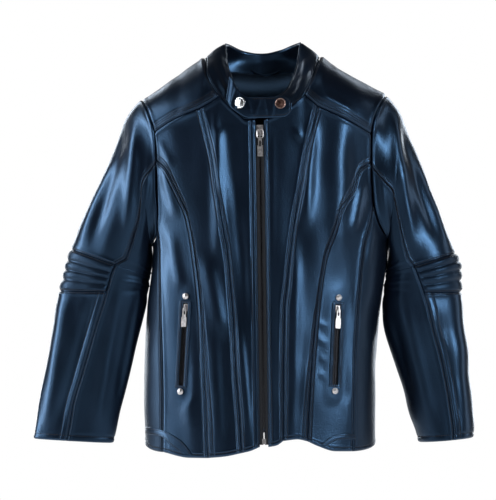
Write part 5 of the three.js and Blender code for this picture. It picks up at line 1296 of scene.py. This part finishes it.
# ------------------------------------------------------------------ corner patches at the hem
def patch(name, outer_pts, inner_pts, z_in_lift, mat, host):
    ra, rb = trace(on_grid(outer_pts)), trace(on_grid(inner_pts))
    A = np.linspace(0, 1, 90)
    B = np.array([0, 0.05, 0.12, 0.22, 0.36, 0.5, 0.64, 0.78, 0.88, 0.95, 1])
    pa, pb = ra(A), rb(A)
    XZ = lerp(pa[:, None], pb[:, None], B[None, :, None])
    hx = half(XZ[..., 0], XZ[..., 1]) * 0.9995
    XZ[..., 0] = np.clip(XZ[..., 0], -hx, hx)
    P = flat(XZ[..., 0], XZ[..., 1], False)
    N = grid_normals(P)
    N = N * np.sign((N * (P - spine(P))).sum(-1).mean())
    d = body_shape(P)
    D = edge_distance(P)
    e = np.minimum(D[2], D[3])
    hi = SHELL + d + 1.25 - 0.5 * np.exp(-((e / 0.6) ** 2)) - 0.25 * np.exp(-(((e - 2.4) / 0.8) ** 2))
    ob = shell_mesh("skin_patch_" + name, P, N, hi, SHELL + d + 0.15, mat)
    bm = bmesh.new()
    bm.from_mesh(ob.data)
    bmesh.ops.recalc_face_normals(bm, faces=bm.faces)
    bm.to_mesh(ob.data)
    bm.free()
    place(ob, "jacket")
    PANELS["patch_" + name] = dict(outer=P + N * hi[..., None], N=N, D=D, W=None, body="jacket")
    row_on("patch_" + name, 2, 2.4)
    row_on("patch_" + name, 3, 2.4)


patch("left", [(147, 426), (155, 426.6), (162, 428), (170, 430.6), (177, 434.5), (182.5, 438.5), (187, 443), (190.5, 447.6), (193, 452)], [(147, 433), (155, 433.4), (162, 434.5), (167.5, 437.6), (172, 442), (176, 445.4), (179, 447.4), (181, 449), (182.5, 451)], 0, TRIM, None)
patch("right", [(353, 431.6), (347, 431.4), (341, 431.6), (335, 432.6), (329, 434.5), (324, 438), (319, 442)], [(354, 437), (348, 437), (343, 437.2), (339, 437.4), (335, 438), (330.5, 440), (326, 443.5)], 0, TRIM, None)

# ------------------------------------------------------------------ stitches as real thread
for key, groups in STITCHES.items():
    V, F_, W, base = [], [], [], 0
    for v, faces, w in groups:
        n_ = len(v)
        V.append(v.reshape(-1, 3))
        for i in range(n_):
            off = base + 11 * i
            F_ += [tuple(off + a for a in f_) for f_ in faces]
        W.append(np.repeat(w, 11))
        base += 11 * n_
    if not V:
        continue
    p = PANELS[key]
    ob = new_mesh("thread_" + key, np.concatenate(V), F_, THREAD, None if p["W"] is None else np.concatenate(W))
    place(ob, p["body"])

# ------------------------------------------------------------------ floor, light and camera
def simple(name, col, rough=0.9):
    m, nt, b = node_mat(name)
    n = mapped_noise(nt, 2.0, 2, 0.5)
    c = ramp(nt, n.outputs["Fac"], [(0.3, (*col, 1)), (0.7, (*[min(1, q * 1.01) for q in col], 1))])
    nt.links.new(c.outputs["Color"], b.inputs["Base Color"])
    b.inputs["Roughness"].default_value = rough
    return m


FLOOR = simple("pale_floor", (0.90, 0.90, 0.90))
floor_b = FLOOR.node_tree.nodes["Principled BSDF"]
floor_b.inputs["Emission Color"].default_value = (1, 1, 1, 1)
floor_b.inputs["Emission Strength"].default_value = 0.34
me = bpy.data.meshes.new("floor")
me.from_pydata([(-8, -8, -1.35), (8, -8, -1.35), (8, 8, -1.35), (-8, 8, -1.35)], [], [(0, 1, 2, 3)])
me.materials.append(FLOOR)
floor = bpy.data.objects.new("floor", me)
bpy.context.scene.collection.objects.link(floor)
floor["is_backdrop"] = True

WORLD = 0.05
world = bpy.data.worlds.new("studio")
bpy.context.scene.world = world
world.use_nodes = True
wt = world.node_tree
bg = wt.nodes["Background"]
bg.inputs["Color"].default_value = (1.0, 1.0, 1.0, 1)
wc = wt.nodes.new("ShaderNodeTexCoord")
wd = wt.nodes.new("ShaderNodeVectorMath")
wd.operation = "DOT_PRODUCT"
wd.inputs[1].default_value = (0, 1, 0)
wt.links.new(wc.outputs["Generated"], wd.inputs[0])
wr_ = wt.nodes.new("ShaderNodeValToRGB")
wr_.color_ramp.elements[0].position, wr_.color_ramp.elements[0].color = 0.0, (0.03, 0.03, 0.03, 1)
wr_.color_ramp.elements[1].position, wr_.color_ramp.elements[1].color = 0.995, (1, 1, 1, 1)
for at_, v_ in ((0.55, 0.03), (0.80, 0.08), (0.965, 0.20)):
    e_r = wr_.color_ramp.elements.new(at_)
    e_r.color = (v_, v_, v_, 1)
wh = wt.nodes.new("ShaderNodeMath")
wh.operation = "MULTIPLY_ADD"
wh.inputs[1].default_value, wh.inputs[2].default_value = 0.5, 0.5
wt.links.new(wd.outputs["Value"], wh.inputs[0])
wt.links.new(wh.outputs[0], wr_.inputs["Fac"])
wt.links.new(wr_.outputs["Color"], bg.inputs["Color"])
bg.inputs["Strength"].default_value = 1.0


def area(name, loc, target, size, size_y, power, color=(1, 1, 1)):
    li = bpy.data.lights.new(name, "AREA")
    li.shape = "RECTANGLE"
    li.size, li.size_y = size, size_y
    li.energy = power
    li.color = color
    ob = bpy.data.objects.new(name, li)
    bpy.context.scene.collection.objects.link(ob)
    ob.location = loc
    ob.rotation_euler = (Vector(target) - Vector(loc)).to_track_quat("-Z", "Y").to_euler()
    return ob


target = (-0.02, 0, -0.28)


def ring_light(name, az, dist, z, w, h, power, color=(0.88, 0.95, 1.0)):
    """A soft box round the object: az 0 is at the camera, positive to the right."""
    r_ = math.radians(az)
    return area(name, (dist * math.sin(r_), -dist * math.cos(r_), z), target, w, h, power, color)


ring_light("left_wide", -86, 2.2, 0.2, 0.7, 2.2, 50)
ring_light("left_strip", -58, 2.6, 0.30, 0.22, 2.2, 13)
ring_light("right_wide", 94, 2.2, 0.15, 0.4, 2.0, 7)
ring_light("right_strip", 37, 2.6, 0.30, 0.18, 0.9, 32)
area("top", (0.0, -0.9, 2.1), target, 1.4, 0.5, 2.5)
ring_light("back_left", -150, 2.4, 0.3, 0.5, 2.0, 22)
ring_light("back_right", 150, 2.4, 0.3, 0.5, 2.0, 22)

cam = bpy.data.cameras.new("camera")
cam.sensor_fit = "HORIZONTAL"
cam.sensor_width = 36
cam.lens = 36 * 7 / 0.7936
cam.clip_end = 60
co = bpy.data.objects.new("camera", cam)
bpy.context.scene.collection.objects.link(co)
co.location = (-0.0224, -7.0, -0.2912)
co.rotation_euler = (math.pi / 2, 0, 0)
bpy.context.scene.camera = co
bpy.context.scene.view_settings.view_transform = "Standard"

bpy.context.view_layer.update()
{"cad": CAD_BOX, "visual": [list(map(float, c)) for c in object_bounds()]}
